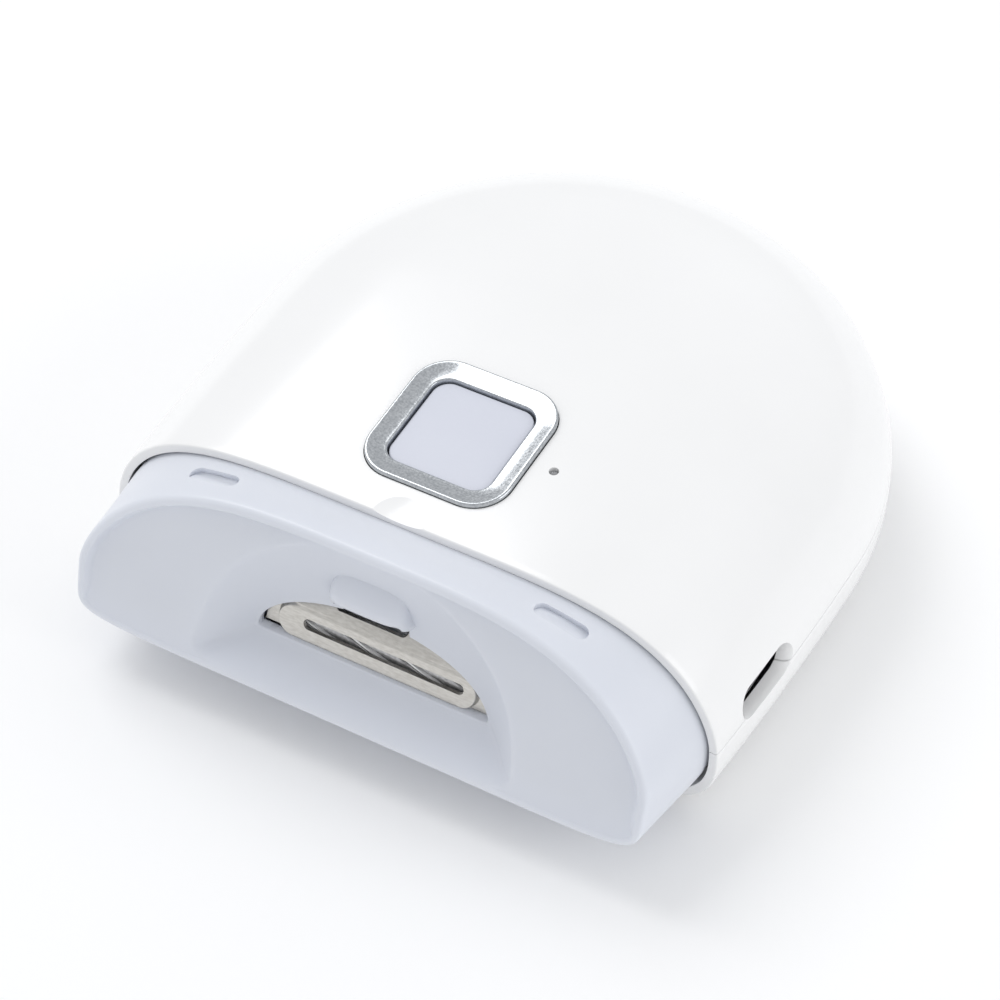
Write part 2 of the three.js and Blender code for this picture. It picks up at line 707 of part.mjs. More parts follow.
function makeMotorCan() {
  const left = MOTOR.right - MOTOR.length;
  const round = bar("x", at(MOTOR_AXIS), left, MOTOR.right, MOTOR.radius, 28);
  const flats = block(
    [left - 1, MOTOR_AXIS.y - MOTOR.flat, MOTOR_AXIS.z - 7],
    [MOTOR.right + 1, MOTOR_AXIS.y + MOTOR.flat, MOTOR_AXIS.z + 7],
  );
  const boss = bar("x", at(MOTOR_AXIS), MOTOR.right - 0.5, MOTOR.right + 1.6, 2, 16);
  return cut(
    join(round.intersect(flats), boss),
    bar("x", at(MOTOR_AXIS), MOTOR.right - 4, MOTOR.right + 3, 0.65, 12),
    ...motorScrewPlaces().map((place) => bar("x", place, MOTOR.right - 2.5, MOTOR.right + 1, 0.7, 12)),
  );
}

function makeMotorEndCap() {
  const right = MOTOR.right - MOTOR.length - GAP;
  const disc = bar("x", at(MOTOR_AXIS), right - 2, right, 5.4, 24);
  const flats = block(
    [right - 3, MOTOR_AXIS.y - MOTOR.flat + 0.3, MOTOR_AXIS.z - 6],
    [right + 1, MOTOR_AXIS.y + MOTOR.flat - 0.3, MOTOR_AXIS.z + 6],
  );
  const tabs = [-1, 1].map((side) =>
    box(right - 2.6, MOTOR_AXIS.y, MOTOR_AXIS.z + side * 3.4, 1.6, 1.8, 0.5),
  );
  return join(disc.intersect(flats), ...tabs);
}

// ---------------------------------------------------------------- electronics

function makeMainBoard() {
  const low = MAIN_BOARD_TOP - BOARD;
  const plate = block([23, RIM_Y + 8, low], [35.6, RIM_Y + 37, MAIN_BOARD_TOP]);
  const holes = BOARD_POSTS.map((place) => bar("z", place, low - 1, MAIN_BOARD_TOP + 1, 0.9, 12));
  return cut(plate, ...holes);
}

function makeSwitchBoard() {
  const low = SWITCH_BOARD_TOP - BOARD;
  const plate = block([-13.6, BUTTON_Y - 5, low], [13.6, BUTTON_Y + 8.5, SWITCH_BOARD_TOP]);
  const holes = SWITCH_POSTS.map((place) => bar("z", place, low - 1, SWITCH_BOARD_TOP + 1, 0.8, 12));
  return cut(plate, ...holes);
}

function socketOutline(inset) {
  return roundedRectangle(SOCKET.half - inset, SOCKET.halfHeight - inset, 1.55 - inset).map(
    ([y, z]) => [RIM_Y + SOCKET.back + y, SOCKET.z + z],
  );
}

function socketPrism(inset, left, right) {
  const ring = (x) => socketOutline(inset).map(([y, z]) => new THREE.Vector3(x, y, z));
  return loft([ring(left), ring(right)]);
}

const SOCKET_RIGHT = HALF_WIDTH - 2.4;

function makeSocketShell() {
  const left = SOCKET_RIGHT - 7.3;
  return cut(
    socketPrism(0, left, SOCKET_RIGHT),
    socketPrism(0.3, left + 1, SOCKET_RIGHT + 1),
  );
}

function makeSocketTongue() {
  const left = SOCKET_RIGHT - 6;
  return block(
    [left, RIM_Y + SOCKET.back - 3.35, SOCKET.z - 0.35],
    [SOCKET_RIGHT - 0.6, RIM_Y + SOCKET.back + 3.35, SOCKET.z + 0.35],
  );
}

// A short insulated wire along hand-chosen points.
function wire(points) {
  const curve = new THREE.CatmullRomCurve3(points.map((p) => new THREE.Vector3(...p)));
  const shape = new THREE.Shape();
  const sides = 8;
  for (let i = 0; i < sides; i++) {
    const angle = (2 * Math.PI * i) / sides;
    const point = [0.5 * Math.cos(angle), 0.5 * Math.sin(angle)];
    if (i === 0) shape.moveTo(...point);
    else shape.lineTo(...point);
  }
  shape.closePath();
  return toSolid(
    new THREE.ExtrudeGeometry(shape, { steps: 16, bevelEnabled: false, extrudePath: curve }),
  );
}

function batteryLead(lane) {
  const x = 10.5 - 2.6 * lane;
  const y = BATTERY.front - 1.6 - 1.4 * lane;
  return wire([[x, BATTERY.front - 0.8, 6], [x + 1, y, 6], [16, y, 6.2], [24, y, 6.9], [29, y, 8]]);
}

function motorLead(side) {
  const left = MOTOR.right - MOTOR.length - GAP - 3.9;
  const z = MOTOR_AXIS.z + side * 3.4;
  return wire([
    [left, MOTOR_AXIS.y, z],
    [left - 2.2, MOTOR_AXIS.y + 2, z],
    [left - 1, MOTOR_AXIS.y + 7.6 + side, z - side],
    [left + 10, MOTOR_AXIS.y + 9 + side, 13.5 + side * 2],
    [18, MOTOR_AXIS.y + 9 + side, 13.5 + side * 2],
    [26 + side, RIM_Y + 26 + side, MAIN_BOARD_TOP + 0.9],
  ]);
}

function makeControlChip() {
  return box(30, RIM_Y + 27, MAIN_BOARD_TOP + 0.3 + 0.7, 5, 5, 1.4);
}

// A pan-head screw, head at headZ, whose shank runs along dir.
function screwZ(place, headLow, headHigh, headRadius, shankRadius, tipZ) {
  const head = bar("z", place, headLow, headHigh, headRadius, 16);
  const shank = bar(
    "z", place, Math.min(tipZ, headLow), Math.max(tipZ, headHigh), shankRadius, 12,
  );
  const slotZ = tipZ > headHigh ? headLow : headHigh;
  return cut(join(head, shank), box(place[0], place[1], slotZ, headRadius * 1.3, 0.4, 0.8));
}

function motorScrew(place) {
  const left = ARM_X + ARM_WIDTH / 2 + 0.1;
  return join(
    bar("x", place, left, left + 0.5, 1.1, 14),
    bar("x", place, MOTOR.right - 1.8, left + 0.1, 0.5, 10),
  );
}

// ---------------------------------------------------------------- small moving and light pieces

function makeMotorShaft() {
  return bar("x", at(MOTOR_AXIS), MOTOR.right - 3.4, GEAR_X + 0.9, 0.5, 12);
}

function makeCutterShaft() {
  return bar("x", at(CUTTER), -ARM_X - 0.9, GEAR_X + 0.8, SHAFT_RADIUS, 12);
}

function makeIdlerAxle() {
  return join(
    bar("x", at(IDLER), ARM_X - 1, GEAR_X + 0.9, 0.7, 12),
    bar("x", at(IDLER), GEAR_X + GEAR_WIDTH / 2 + 0.15, GEAR_X + GEAR_WIDTH / 2 + 0.55, 1.2, 12),
  );
}

function makeBush(side) {
  const low = side * ARM_X - ARM_WIDTH / 2;
  return tube("x", at(CUTTER), low, low + ARM_WIDTH, BUSH.inner, BUSH.outer, 16);
}

function makeWorkLightLens() {
  const front = RIM_Y - LIP_REACH + LEAN * LIGHT.z + DISH_DEPTH + 2.4;
  return block([-3.6, front, LIGHT.z - 0.45], [3.6, RIM_Y + 2.2, LIGHT.z + 0.45]);
}

function makeWorkLight() {
  return block(
    [-3, RIM_Y + 2.5, LIGHT.z - 0.7],
    [3, RIM_Y + BULKHEAD.front - GAP, LIGHT.z + 0.8],
  );
}

function makeStatusLens() {
  const place = [LAMP.x, RIM_Y + LAMP.back];
  const surface = topZ(LAMP.x / HALF_WIDTH, LAMP.back);
  return join(
    bar("z", place, SWITCH_BOARD_TOP + 1.6, surface - WALL - 0.5, 1.1, 12),
    bar("z", place, surface - WALL - 0.8, surface - 0.35, 0.4, 12),
  );
}

function makeBattery() {
  const length = BATTERY.back - BATTERY.front;
  const outline = roundedRectangle(length / 2, (BATTERY.high - BATTERY.low) / 2, 2.4);
  const middle = [(BATTERY.front + BATTERY.back) / 2, (BATTERY.low + BATTERY.high) / 2];
  const ring = (x) =>
    outline.map(([y, z]) => new THREE.Vector3(x, middle[0] + y, middle[1] + z));
  return loft([ring(-BATTERY.half), ring(BATTERY.half)]);
}

// ---------------------------------------------------------------- assembly

const FINISH = {
  white: { color: 0xf4f4f2, roughness: 0.25, metalness: 0 },
  milky: { color: 0xd9dde6, roughness: 0.35, metalness: 0, transparent: true, opacity: 0.85 },
  pad: { color: 0xd6d9e2, roughness: 0.5, metalness: 0 },
  chrome: { color: 0xc8ccd0, roughness: 0.2, metalness: 1 },
  steel: { color: 0xb9b5ae, roughness: 0.35, metalness: 1 },
  cutterSteel: { color: 0x77787a, roughness: 0.4, metalness: 1 },
  bronze: { color: 0xa8763c, roughness: 0.45, metalness: 1 },
  frame: { color: 0x3a3c40, roughness: 0.6, metalness: 0 },
  acetal: { color: 0xe6e2d6, roughness: 0.5, metalness: 0 },
  board: { color: 0x1d5a3a, roughness: 0.5, metalness: 0 },
  black: { color: 0x1c1c1e, roughness: 0.5, metalness: 0 },
  lens: { color: 0xb9bcc2, roughness: 0.1, metalness: 0 },
  cell: { color: 0xa9adb4, roughness: 0.35, metalness: 0.6 },
  red: { color: 0xb02020, roughness: 0.5, metalness: 0 },
};

const trimmer = new THREE.Group();

function add(parent, name, solid, finish) {
  const mesh = new THREE.Mesh(toGeometry(solid), new THREE.MeshStandardMaterial(FINISH[finish]));
  mesh.name = name;
  parent.add(mesh);
}

function subassembly(parts) {
  const group = new THREE.Group();
  parts.forEach(([name, solid, finish]) => add(group, name, solid, finish));
  trimmer.add(group);
}

subassembly([
  ["upper_shell", makeUpperShell(), "white"],
  ["lower_shell", makeLowerShell(), "white"],
  ["button_ring", makeButtonRing(), "chrome"],
]);
subassembly([["debris_cap", makeDebrisCap(), "milky"]]);
subassembly([
  ["button_pad", makeButtonPad(), "pad"],
  [
    "switch_plunger",
    bar("z", [0, BUTTON_Y], SWITCH_BOARD_TOP + 2.2, SWITCH_BOARD_TOP + 3.6, 1.2, 16),
    "black",
  ],
]);
subassembly([
  [
    "tact_switch",
    cut(
      box(0, BUTTON_Y, SWITCH_BOARD_TOP + GAP + 1.25, 6, 6, 2.5),
      bar("z", [0, BUTTON_Y], SWITCH_BOARD_TOP + 1.3, SWITCH_BOARD_TOP + 4, 1.5, 16),
    ),
    "black",
  ],
  ["switch_board", makeSwitchBoard(), "board"],
  [
    "status_led",
    box(LAMP.x, RIM_Y + LAMP.back, SWITCH_BOARD_TOP + GAP + 0.4, 1.6, 0.8, 0.8),
    "lens",
  ],
  ["status_lens", makeStatusLens(), "lens"],
  ["main_board", makeMainBoard(), "board"],
  ["control_chip", makeControlChip(), "black"],
  ["usb_socket_shell", makeSocketShell(), "steel"],
  ["usb_socket_tongue", makeSocketTongue(), "black"],
  ["battery_cell", makeBattery(), "cell"],
  ["battery_lead_red", batteryLead(0), "red"],
  ["battery_lead_black", batteryLead(1), "black"],
]);
subassembly([
  ["motor_can", makeMotorCan(), "steel"],
  ["motor_end_cap", makeMotorEndCap(), "black"],
  ["motor_lead_red", motorLead(1), "red"],
  ["motor_lead_black", motorLead(-1), "black"],
  ["motor_shaft", makeMotorShaft(), "steel"],
  ["motor_pinion", gearSolid(MOTOR_AXIS, TEETH.pinion, PINION_PHASE, 0.6), "bronze"],
]);
subassembly([
  ["cutter_frame", makeCutterFrame(), "frame"],
  ["blade_guard", makeBladeGuard(), "steel"],
  ["cutter_bush_left", makeBush(-1), "bronze"],
  ["cutter_bush_right", makeBush(1), "bronze"],
  ["cutter_shaft", makeCutterShaft(), "steel"],
  ["cutter_roller", makeCutterRoller(), "cutterSteel"],
  ["cutter_gear", gearSolid(CUTTER, TEETH.cutter, CUTTER_PHASE, SHAFT_RADIUS + 0.1), "bronze"],
  ["idler_gear", gearSolid(IDLER, TEETH.idler, IDLER_PHASE, 0.8), "acetal"],
  ["idler_axle", makeIdlerAxle(), "steel"],
  ["work_light_lens", makeWorkLightLens(), "lens"],
  ["work_light_led", makeWorkLight(), "lens"],
]);
const corners = ["front_left", "front_right", "rear_left", "rear_right"];
subassembly([
  ...CASE_SCREWS.map((place, i) => [
    "case_screw_" + corners[i], screwZ(place, 1.4, 2.5, 1.9, 0.9, 9), "steel",
  ]),
  ...BOARD_POSTS.map((place, i) => [
    "board_screw_" + ["front", "rear"][i],
    screwZ(place, MAIN_BOARD_TOP + 0.1, MAIN_BOARD_TOP + 1, 1.5, 0.5, MAIN_BOARD_TOP - 5),
    "steel",
  ]),
  ...SWITCH_POSTS.map((place, i) => [
    "switch_board_screw_" + ["left", "right"][i],
    screwZ(
      place, SWITCH_BOARD_TOP - BOARD - 1, SWITCH_BOARD_TOP - BOARD - 0.1,
      1.5, 0.5, SWITCH_BOARD_TOP + 3,
    ),
    "steel",
  ]),
  ...FRAME_FEET.map((x, i) => [
    "frame_screw_" + ["left", "right"][i],
    screwZ([x, RIM_Y + 9.6], 5.4, 6.3, 1.5, 0.5, 2),
    "steel",
  ]),
  ...motorScrewPlaces().map((place, i) => [
    "motor_screw_" + ["lower", "upper"][i], motorScrew(place), "steel",
  ]),
]);

export default trimmer;
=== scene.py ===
"""Electric nail trimmer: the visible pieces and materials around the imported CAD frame.

Shape functions work in millimetres in the CAD's axes: +X right, -Y front, +Z up. "back" is the
distance behind the body's rim, and "depth" the distance behind the cap's leaning lip plane.
"""

import math

import bmesh
import bpy
import numpy as np
from mathutils import Matrix, Vector


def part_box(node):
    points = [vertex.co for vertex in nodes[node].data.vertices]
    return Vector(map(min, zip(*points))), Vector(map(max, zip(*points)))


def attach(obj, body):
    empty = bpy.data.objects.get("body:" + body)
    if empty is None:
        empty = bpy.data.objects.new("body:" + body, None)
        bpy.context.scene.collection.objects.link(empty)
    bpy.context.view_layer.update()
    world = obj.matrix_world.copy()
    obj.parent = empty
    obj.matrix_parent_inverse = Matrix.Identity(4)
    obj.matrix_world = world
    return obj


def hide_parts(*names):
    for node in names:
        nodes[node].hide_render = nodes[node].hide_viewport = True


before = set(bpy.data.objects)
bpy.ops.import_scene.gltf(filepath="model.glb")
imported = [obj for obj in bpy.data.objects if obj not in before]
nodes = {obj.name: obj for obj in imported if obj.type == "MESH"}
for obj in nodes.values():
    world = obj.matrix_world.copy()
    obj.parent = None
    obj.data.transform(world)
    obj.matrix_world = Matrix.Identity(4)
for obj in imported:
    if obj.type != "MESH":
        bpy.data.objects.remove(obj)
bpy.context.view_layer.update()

MM = 0.001


def box_mm(node):
    """Lowest and highest corner of a CAD node, in millimetres."""
    low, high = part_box(node)
    return np.array(low) / MM, np.array(high) / MM


# ---------------------------------------------------------------- dimensions

upper_low, upper_high = box_mm("upper_shell")
RIM_Y = upper_low[1]
HALF_WIDTH = upper_high[0]
SIDE_LENGTH = 31.0  # the sides reach this far behind the rim, and the round back starts there
BACK_DEPTH = upper_high[1] - RIM_Y - SIDE_LENGTH
SEAM = 0.08  # half the parting gap
PARTING_Z = box_mm("lower_shell")[1][2] + SEAM
RIM_TOP_Z = 26.9
FRONT_TAPER = 1.2  # how much each side comes in at the rim
CROWN = 2.67  # how far the top rises behind the rim, at its highest
CROWN_AT = 60.0  # how far behind the rim that is
WALL = 1.6
UPPER = (4.8, 1.705)  # powers of the upper section's curve, across and up
LOWER = (8.5, 2.8)  # powers of the lower section's curve, across and down
FLAT_BELOW = 0.3  # the lower curve would end this far under the flat base
SCREW_WELL_RADIUS = 2.3

LIP_REACH = 14.9  # the lip plane's distance in front of the rim, at the floor
LEAN = 0.307  # how far the lip plane falls back per millimetre of height
PLUG = 4.4  # how far the cap reaches into the body
CAP_WALL = 1.25

BUTTON_BACK = 13.15
BUTTON_Y = RIM_Y + BUTTON_BACK
LAMP_X = 11.3
LAMP_Y = RIM_Y + 13.1
LAMP_RADIUS = 0.55

SOCKET_Y = RIM_Y + 10.3
SOCKET_Z = 12.0

# ---------------------------------------------------------------- mesh helpers


def make_object(name, points, faces, material, body, replaced=(), smooth=35):
    """A piece from points in millimetres, shaded smooth up to an angle in degrees."""
    mesh = bpy.data.meshes.new(name)
    mesh.from_pydata([tuple(p) for p in np.asarray(points) * MM], [], faces)
    mesh.update()
    piece = bpy.data.objects.new(name, mesh)
    bpy.context.scene.collection.objects.link(piece)
    clean(piece)
    mesh.materials.append(material)
    shade(piece, smooth)
    place(piece, body, replaced)
    return piece


def place(piece, body, replaced=()):
    """Tells the frame which body a piece rides on and which nodes it stands for."""
    if body:
        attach(piece, body)
    if replaced:
        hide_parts(*replaced)


def clean(piece):
    """Joins points that coincide, drops faces without area and turns the normals outwards."""
    work = bmesh.new()
    work.from_mesh(piece.data)
    bmesh.ops.remove_doubles(work, verts=work.verts, dist=2e-6)
    bmesh.ops.dissolve_degenerate(work, edges=work.edges, dist=1e-7)
    bmesh.ops.recalc_face_normals(work, faces=work.faces)
    work.to_mesh(piece.data)
    work.free()


def shade(piece, angle):
    mesh = piece.data
    mesh.shade_smooth()
    mesh.set_sharp_from_angle(angle=math.radians(angle))


def grid_faces(rows, columns, closed_rows=False):
    """Quads over a grid of points stored row by row, where each row is a closed ring."""
    faces = []
    for r in range(rows if closed_rows else rows - 1):
        here, there = r * columns, (r + 1) % rows * columns
        for c in range(columns):
            right = (c + 1) % columns
            faces.append((here + c, here + right, there + right, there + c))
    return faces


def loft(rings):
    """Points and faces of a solid through rings of equal length, with flat ends."""
    count = len(rings[0])
    faces = grid_faces(len(rings), count)
    last = (len(rings) - 1) * count
    faces.append(tuple(range(count - 1, -1, -1)))
    faces.append(tuple(range(last, last + count)))
    return np.concatenate(rings), faces


def torus(rings):
    """Points and faces of a solid whose last ring meets its first."""
    return np.concatenate(rings), grid_faces(len(rings), len(rings[0]), closed_rows=True)


def helper_solid(name, points, faces):
    """A solid that only takes part in a boolean."""
    mesh = bpy.data.meshes.new(name)
    mesh.from_pydata([tuple(p) for p in np.asarray(points) * MM], [], faces)
    piece = bpy.data.objects.new(name, mesh)
    bpy.context.scene.collection.objects.link(piece)
    clean(piece)
    return piece


def boolean(piece, other, operation="DIFFERENCE"):
    """Cuts a helper solid from a piece, or joins it, and removes the helper."""
    modifier = piece.modifiers.new("cut", "BOOLEAN")
    modifier.operation = operation
    modifier.solver = "EXACT"
    modifier.object = other
    apply_modifiers(piece)
    bpy.data.objects.remove(other)


def apply_modifiers(piece):
    graph = bpy.context.evaluated_depsgraph_get()
    mesh = bpy.data.meshes.new_from_object(piece.evaluated_get(graph))
    old = piece.data
    piece.modifiers.clear()
    piece.data = mesh
    mesh.name = old.name
    bpy.data.meshes.remove(old)


def smoothstep(value, low, high):
    share = np.clip((value - low) / (high - low), 0, 1)
    return share * share * (3 - 2 * share)


def soft_min(a, b, width):
    """The smaller of two values, rounded where they are closer than width."""
    share = np.clip(0.5 + 0.5 * (b - a) / width, 0, 1)
    return b * (1 - share) + a * share - width * share * (1 - share)


def rounded_rectangle(half_x, half_y, corner, corner_steps=12, side_steps=10):
    """Anticlockwise outline with evenly divided sides, always with the same number of points."""
    signs = [(1, 1), (-1, 1), (-1, -1), (1, -1)]
    centre = np.array([half_x - corner, half_y - corner])

    def corner_point(quarter, share):
        angle = (quarter + share) * math.pi / 2
        return centre * signs[quarter % 4] + corner * np.array([math.cos(angle), math.sin(angle)])

    points = []
    for quarter in range(4):
        points += [corner_point(quarter, i / corner_steps) for i in range(corner_steps + 1)]
        start = points[-1]
        end = corner_point(quarter + 1, 0)
        points += [start + (end - start) * i / side_steps for i in range(1, side_steps)]
    return np.array(points)


def even_spacing(line, count):
    """Points at equal distances along an open line."""
    steps = np.linalg.norm(np.diff(line, axis=0), axis=1)
    along = np.concatenate([[0], np.cumsum(steps)])
    wanted = np.linspace(0, along[-1], count)
    return np.stack([np.interp(wanted, along, line[:, k]) for k in range(line.shape[1])], axis=1)


# ---------------------------------------------------------------- body surface


def plan_half_width(back):
    forward = np.clip(1 - back / SIDE_LENGTH, 0, None)
    return HALF_WIDTH - FRONT_TAPER * forward * forward


def crown_at(back):
    forward = 1 - np.clip(back, 0, None) / CROWN_AT
    return CROWN * (1 - forward * forward)


def top_z(ratio, back):
    rise = (RIM_TOP_Z - PARTING_Z) * (1 - ratio ** UPPER[0]) ** (1 / UPPER[1])
    return PARTING_Z + rise + crown_at(back) * (1 - ratio * ratio)


def upper_ratio(height):
    """How much the plan shrinks at a height above the parting line, on the side."""
    share = height / (RIM_TOP_Z - PARTING_Z)
    return (1 - share ** UPPER[1]) ** (1 / UPPER[0])


def lower_ratio(z):
    depth = (PARTING_Z - z) / (PARTING_Z + FLAT_BELOW)
    return (1 - depth ** LOWER[1]) ** (1 / LOWER[0])


def plan_line(front, inset, ratio, side_steps=44, arc_steps=66):
    """Open line from the right front corner round the back to the left front corner."""
    backs = np.linspace(front, SIDE_LENGTH, side_steps + 1)
    right = np.stack([(plan_half_width(backs) - inset) * ratio, backs], axis=1)
    angles = np.linspace(0, np.pi, 2 * arc_steps + 1)[1:-1]
    arc = np.stack(
        [
            (HALF_WIDTH - inset) * ratio * np.cos(angles),
            SIDE_LENGTH + (BACK_DEPTH - inset) * ratio * np.sin(angles),
        ],
        axis=1,
    )
    left = right[::-1] * [-1, 1]
    return np.concatenate([right, arc, left])


RIM_ROUND = 0.22
RIM_WALL = 1.0
RIM_BEVEL = 0.03
THIN_WALL_END = PLUG + 1
RIM_PROFILE = [  # inset from the outer surface, distance behind the rim
    (RIM_ROUND * (1 - math.cos(a)), RIM_ROUND * (1 - math.sin(a)))
    for a in np.linspace(0, math.pi / 2, 6)
]
PARTING_ROUND = 0.18
PARTING_PROFILE = [  # inset from the outer surface, distance from the parting plane
    (PARTING_ROUND * (1 - math.sin(a)), SEAM + PARTING_ROUND * (1 - math.cos(a)))
    for a in np.linspace(0, math.pi / 2, 4)
]


def shell_row(ratio, edge_inset, height):
    """One closed row of a shell: outer line, rim, inner line and rim again."""
    rim = [(inset + edge_inset * (1 - inset / RIM_ROUND), back) for inset, back in RIM_PROFILE[1:]]
    rim += [(RIM_WALL - RIM_BEVEL, 0), (RIM_WALL, RIM_BEVEL), (RIM_WALL, THIN_WALL_END)]

    def rim_point(side, inset, back):
        half = (plan_half_width(back) - inset) * ratio
        return with_height(np.array([[side * half, back]]), ratio, inset, height)

    outer = plan_line(RIM_ROUND, edge_inset, ratio)
    inner = plan_line(THIN_WALL_END + 0.2, WALL, ratio)[::-1]
    parts = [with_height(outer, ratio, edge_inset, height)]
    parts += [rim_point(-1, inset, back) for inset, back in rim]
    parts.append(with_height(inner, ratio, WALL, height))
    parts += [rim_point(1, inset, back) for inset, back in reversed(rim)]
    return np.concatenate(parts)


def with_height(line, ratio, inset, height):
    z = height(ratio, line[:, 1], inset)
    return np.stack([line[:, 0], RIM_Y + line[:, 1], z], axis=1)


def upper_height(ratio, back, inset):
    shrink = 1 - inset / (RIM_TOP_Z - PARTING_Z)
    return PARTING_Z + (top_z(ratio, back) - PARTING_Z) * shrink


def lower_height(z):
    """The height function of a row of the lower shell, which is level."""

    def height(ratio, back, inset):
        shrink = 1 - inset / PARTING_Z
        return np.full(np.shape(back), PARTING_Z - (PARTING_Z - z) * shrink)

    return height


def shell_mesh(rows):
    """A closed shell from rows: the first is the parting edge, and the last is folded shut."""
    count = len(rows[0])
    points = np.concatenate(rows)
    faces = grid_faces(len(rows), count)
    outer_count = len(plan_line(0, 0, 1))
    rim_count = (count - 2 * outer_count) // 2
    inner_start = outer_count + rim_count
    for i in range(outer_count - 1):
        mirror = inner_start + outer_count - 1 - i
        faces.append((i + 1, i, mirror, mirror - 1))
    left_end = list(range(outer_count - 1, inner_start + 1))
    right_end = list(range(inner_start + outer_count - 1, count)) + [0]
    faces.append(tuple(left_end[::-1]))
    faces.append(tuple(right_end[::-1]))
    return points, faces


def make_shell_top(material):
    rows = [shell_row(upper_ratio(height), inset, upper_height) for inset, height in PARTING_PROFILE]
    straight, shoulder = 5, 11  # heights above the parting line
    sides = np.linspace(SEAM + PARTING_ROUND, straight, 13)[1:]
    heights = np.concatenate([sides, np.linspace(straight, shoulder, 14)[1:]])
    ratios = [upper_ratio(h) for h in heights]
    ratios += list(np.linspace(ratios[-1], 0.3, 34)[1:])
    ratios += [0.22, 0.15, 0.08, 0.03, 0.0]
    rows += [shell_row(ratio, 0, upper_height) for ratio in ratios]
    points, faces = shell_mesh(rows)
    shell = make_object("shell_top", points, faces, material, None)
    boolean(shell, button_well())
    boolean(shell, socket_mouth())
    boolean(shell, thumb_notch())
    boolean(shell, helper_disc("lamp_hole", LAMP_X, LAMP_Y, 20, 35, LAMP_RADIUS))
    shade(shell, 13)
    place(shell, "housing", ["upper_shell"])
    return shell


def make_shell_base(material):
    rows = []
    for inset, drop in PARTING_PROFILE:
        z = PARTING_Z - drop
        rows.append(shell_row(lower_ratio(z), inset, lower_height(z)))
    bend = 3
    sides = np.linspace(PARTING_Z - SEAM - PARTING_ROUND, bend, 12)[1:]
    levels = np.concatenate([sides, np.linspace(bend, 0, 13)[1:]])
    rows += [shell_row(lower_ratio(z), 0, lower_height(z)) for z in levels]
    flat = lower_height(0)
    rows += [shell_row(lower_ratio(0) * share, 0, flat) for share in (0.8, 0.5, 0.2, 0.0)]
    points, faces = shell_mesh(rows)
    shell = make_object("shell_base", points, faces, material, None)
    boolean(shell, socket_mouth())
    for corner in ("front_left", "front_right", "rear_left", "rear_right"):
        low, high = box_mm("case_screw_" + corner)
        x, y = (low[:2] + high[:2]) / 2
        boolean(shell, helper_disc("screw_well", x, y, -1, 3, SCREW_WELL_RADIUS))
    shade(shell, 32)
    place(shell, "housing", ["lower_shell"])
    return shell


def helper_disc(name, x, y, low, high, radius, sides=48):
    """An upright cylinder for a boolean."""
    angles = np.linspace(0, 2 * np.pi, sides, endpoint=False)
    ring = np.stack([x + radius * np.cos(angles), y + radius * np.sin(angles)], axis=1)
    rings = [np.column_stack([ring, np.full(sides, z)]) for z in (low, high)]
    return helper_solid(name, *loft(rings))


def thumb_notch():
    """A ball that cuts the shallow scallop in the middle of the rim."""
    radius = 12.3
    dip = 0.45
    centre = np.array([0, RIM_Y - 1.07, RIM_TOP_Z + radius - dip])
    sides = 120
    angles = np.linspace(0, 2 * np.pi, sides, endpoint=False)
    rings = []
    for polar in np.linspace(0.01, math.pi - 0.01, 90):
        across = math.sin(polar)
        ring = [across * np.cos(angles), across * np.sin(angles), np.full(sides, math.cos(polar))]
        rings.append(centre + radius * np.stack(ring, axis=1))
    return helper_solid("thumb_notch", *loft(rings))


def socket_mouth():
    """The flared well of the charging socket, through the right wall."""
    length, height = 9.6, 3.9
    depth = 2.4
    profile = [(-5.0, length, height), (-depth, length, height)]  # x from the side, length, height
    for share in np.linspace(0, 1, 12)[1:]:
        grow = 1 - math.sqrt(1 - share * share * 0.999)
        profile.append((depth * (share - 1), length + 3.0 * grow, height + 1.3 * grow))
    profile.append((1.0, length + 3.2, height + 1.5))
    rings = []
    for x, long, high in profile:
        outline = rounded_rectangle(long / 2, high / 2, high / 2 - 0.02)
        x_values = np.full(len(outline), HALF_WIDTH + x)
        rings.append(np.column_stack([x_values, SOCKET_Y + outline[:, 0], SOCKET_Z + outline[:, 1]]))
    return helper_solid("socket_mouth", *loft(rings))


# ---------------------------------------------------------------- button

RING = {"outer": 8.72, "inner": 6.35, "corner": 4.3, "inner_corner": 2.1}
RING_GAP = 0.1
PAD_HALF = 6.2
PAD_CORNER = 2.0
PAD_TOP = -0.4  # height of the pad's edge above the shell
PAD_ROUND = 0.22
PAD_HOLLOW = 0.06
TILT = 0.075  # rise of the button's plane per millimetre towards the back
BUTTON_Z = float(top_z(0.0, np.array([BUTTON_BACK]))[0])


def button_ring_points(outline, rise):
    """Points of an outline round the button, at a height above the shell's tilted surface."""
    z = BUTTON_Z + TILT * outline[:, 1] + rise
    return np.column_stack([outline[:, 0], BUTTON_Y + outline[:, 1], z])


def button_well():
    """The opening in the upper shell that the button's frame sits in."""
    half = RING["outer"] + RING_GAP
    outline = rounded_rectangle(half, half, RING["corner"] + RING_GAP)
    rings = [button_ring_points(outline, rise) for rise in (-6, 5)]
    return helper_solid("button_well", *loft(rings))


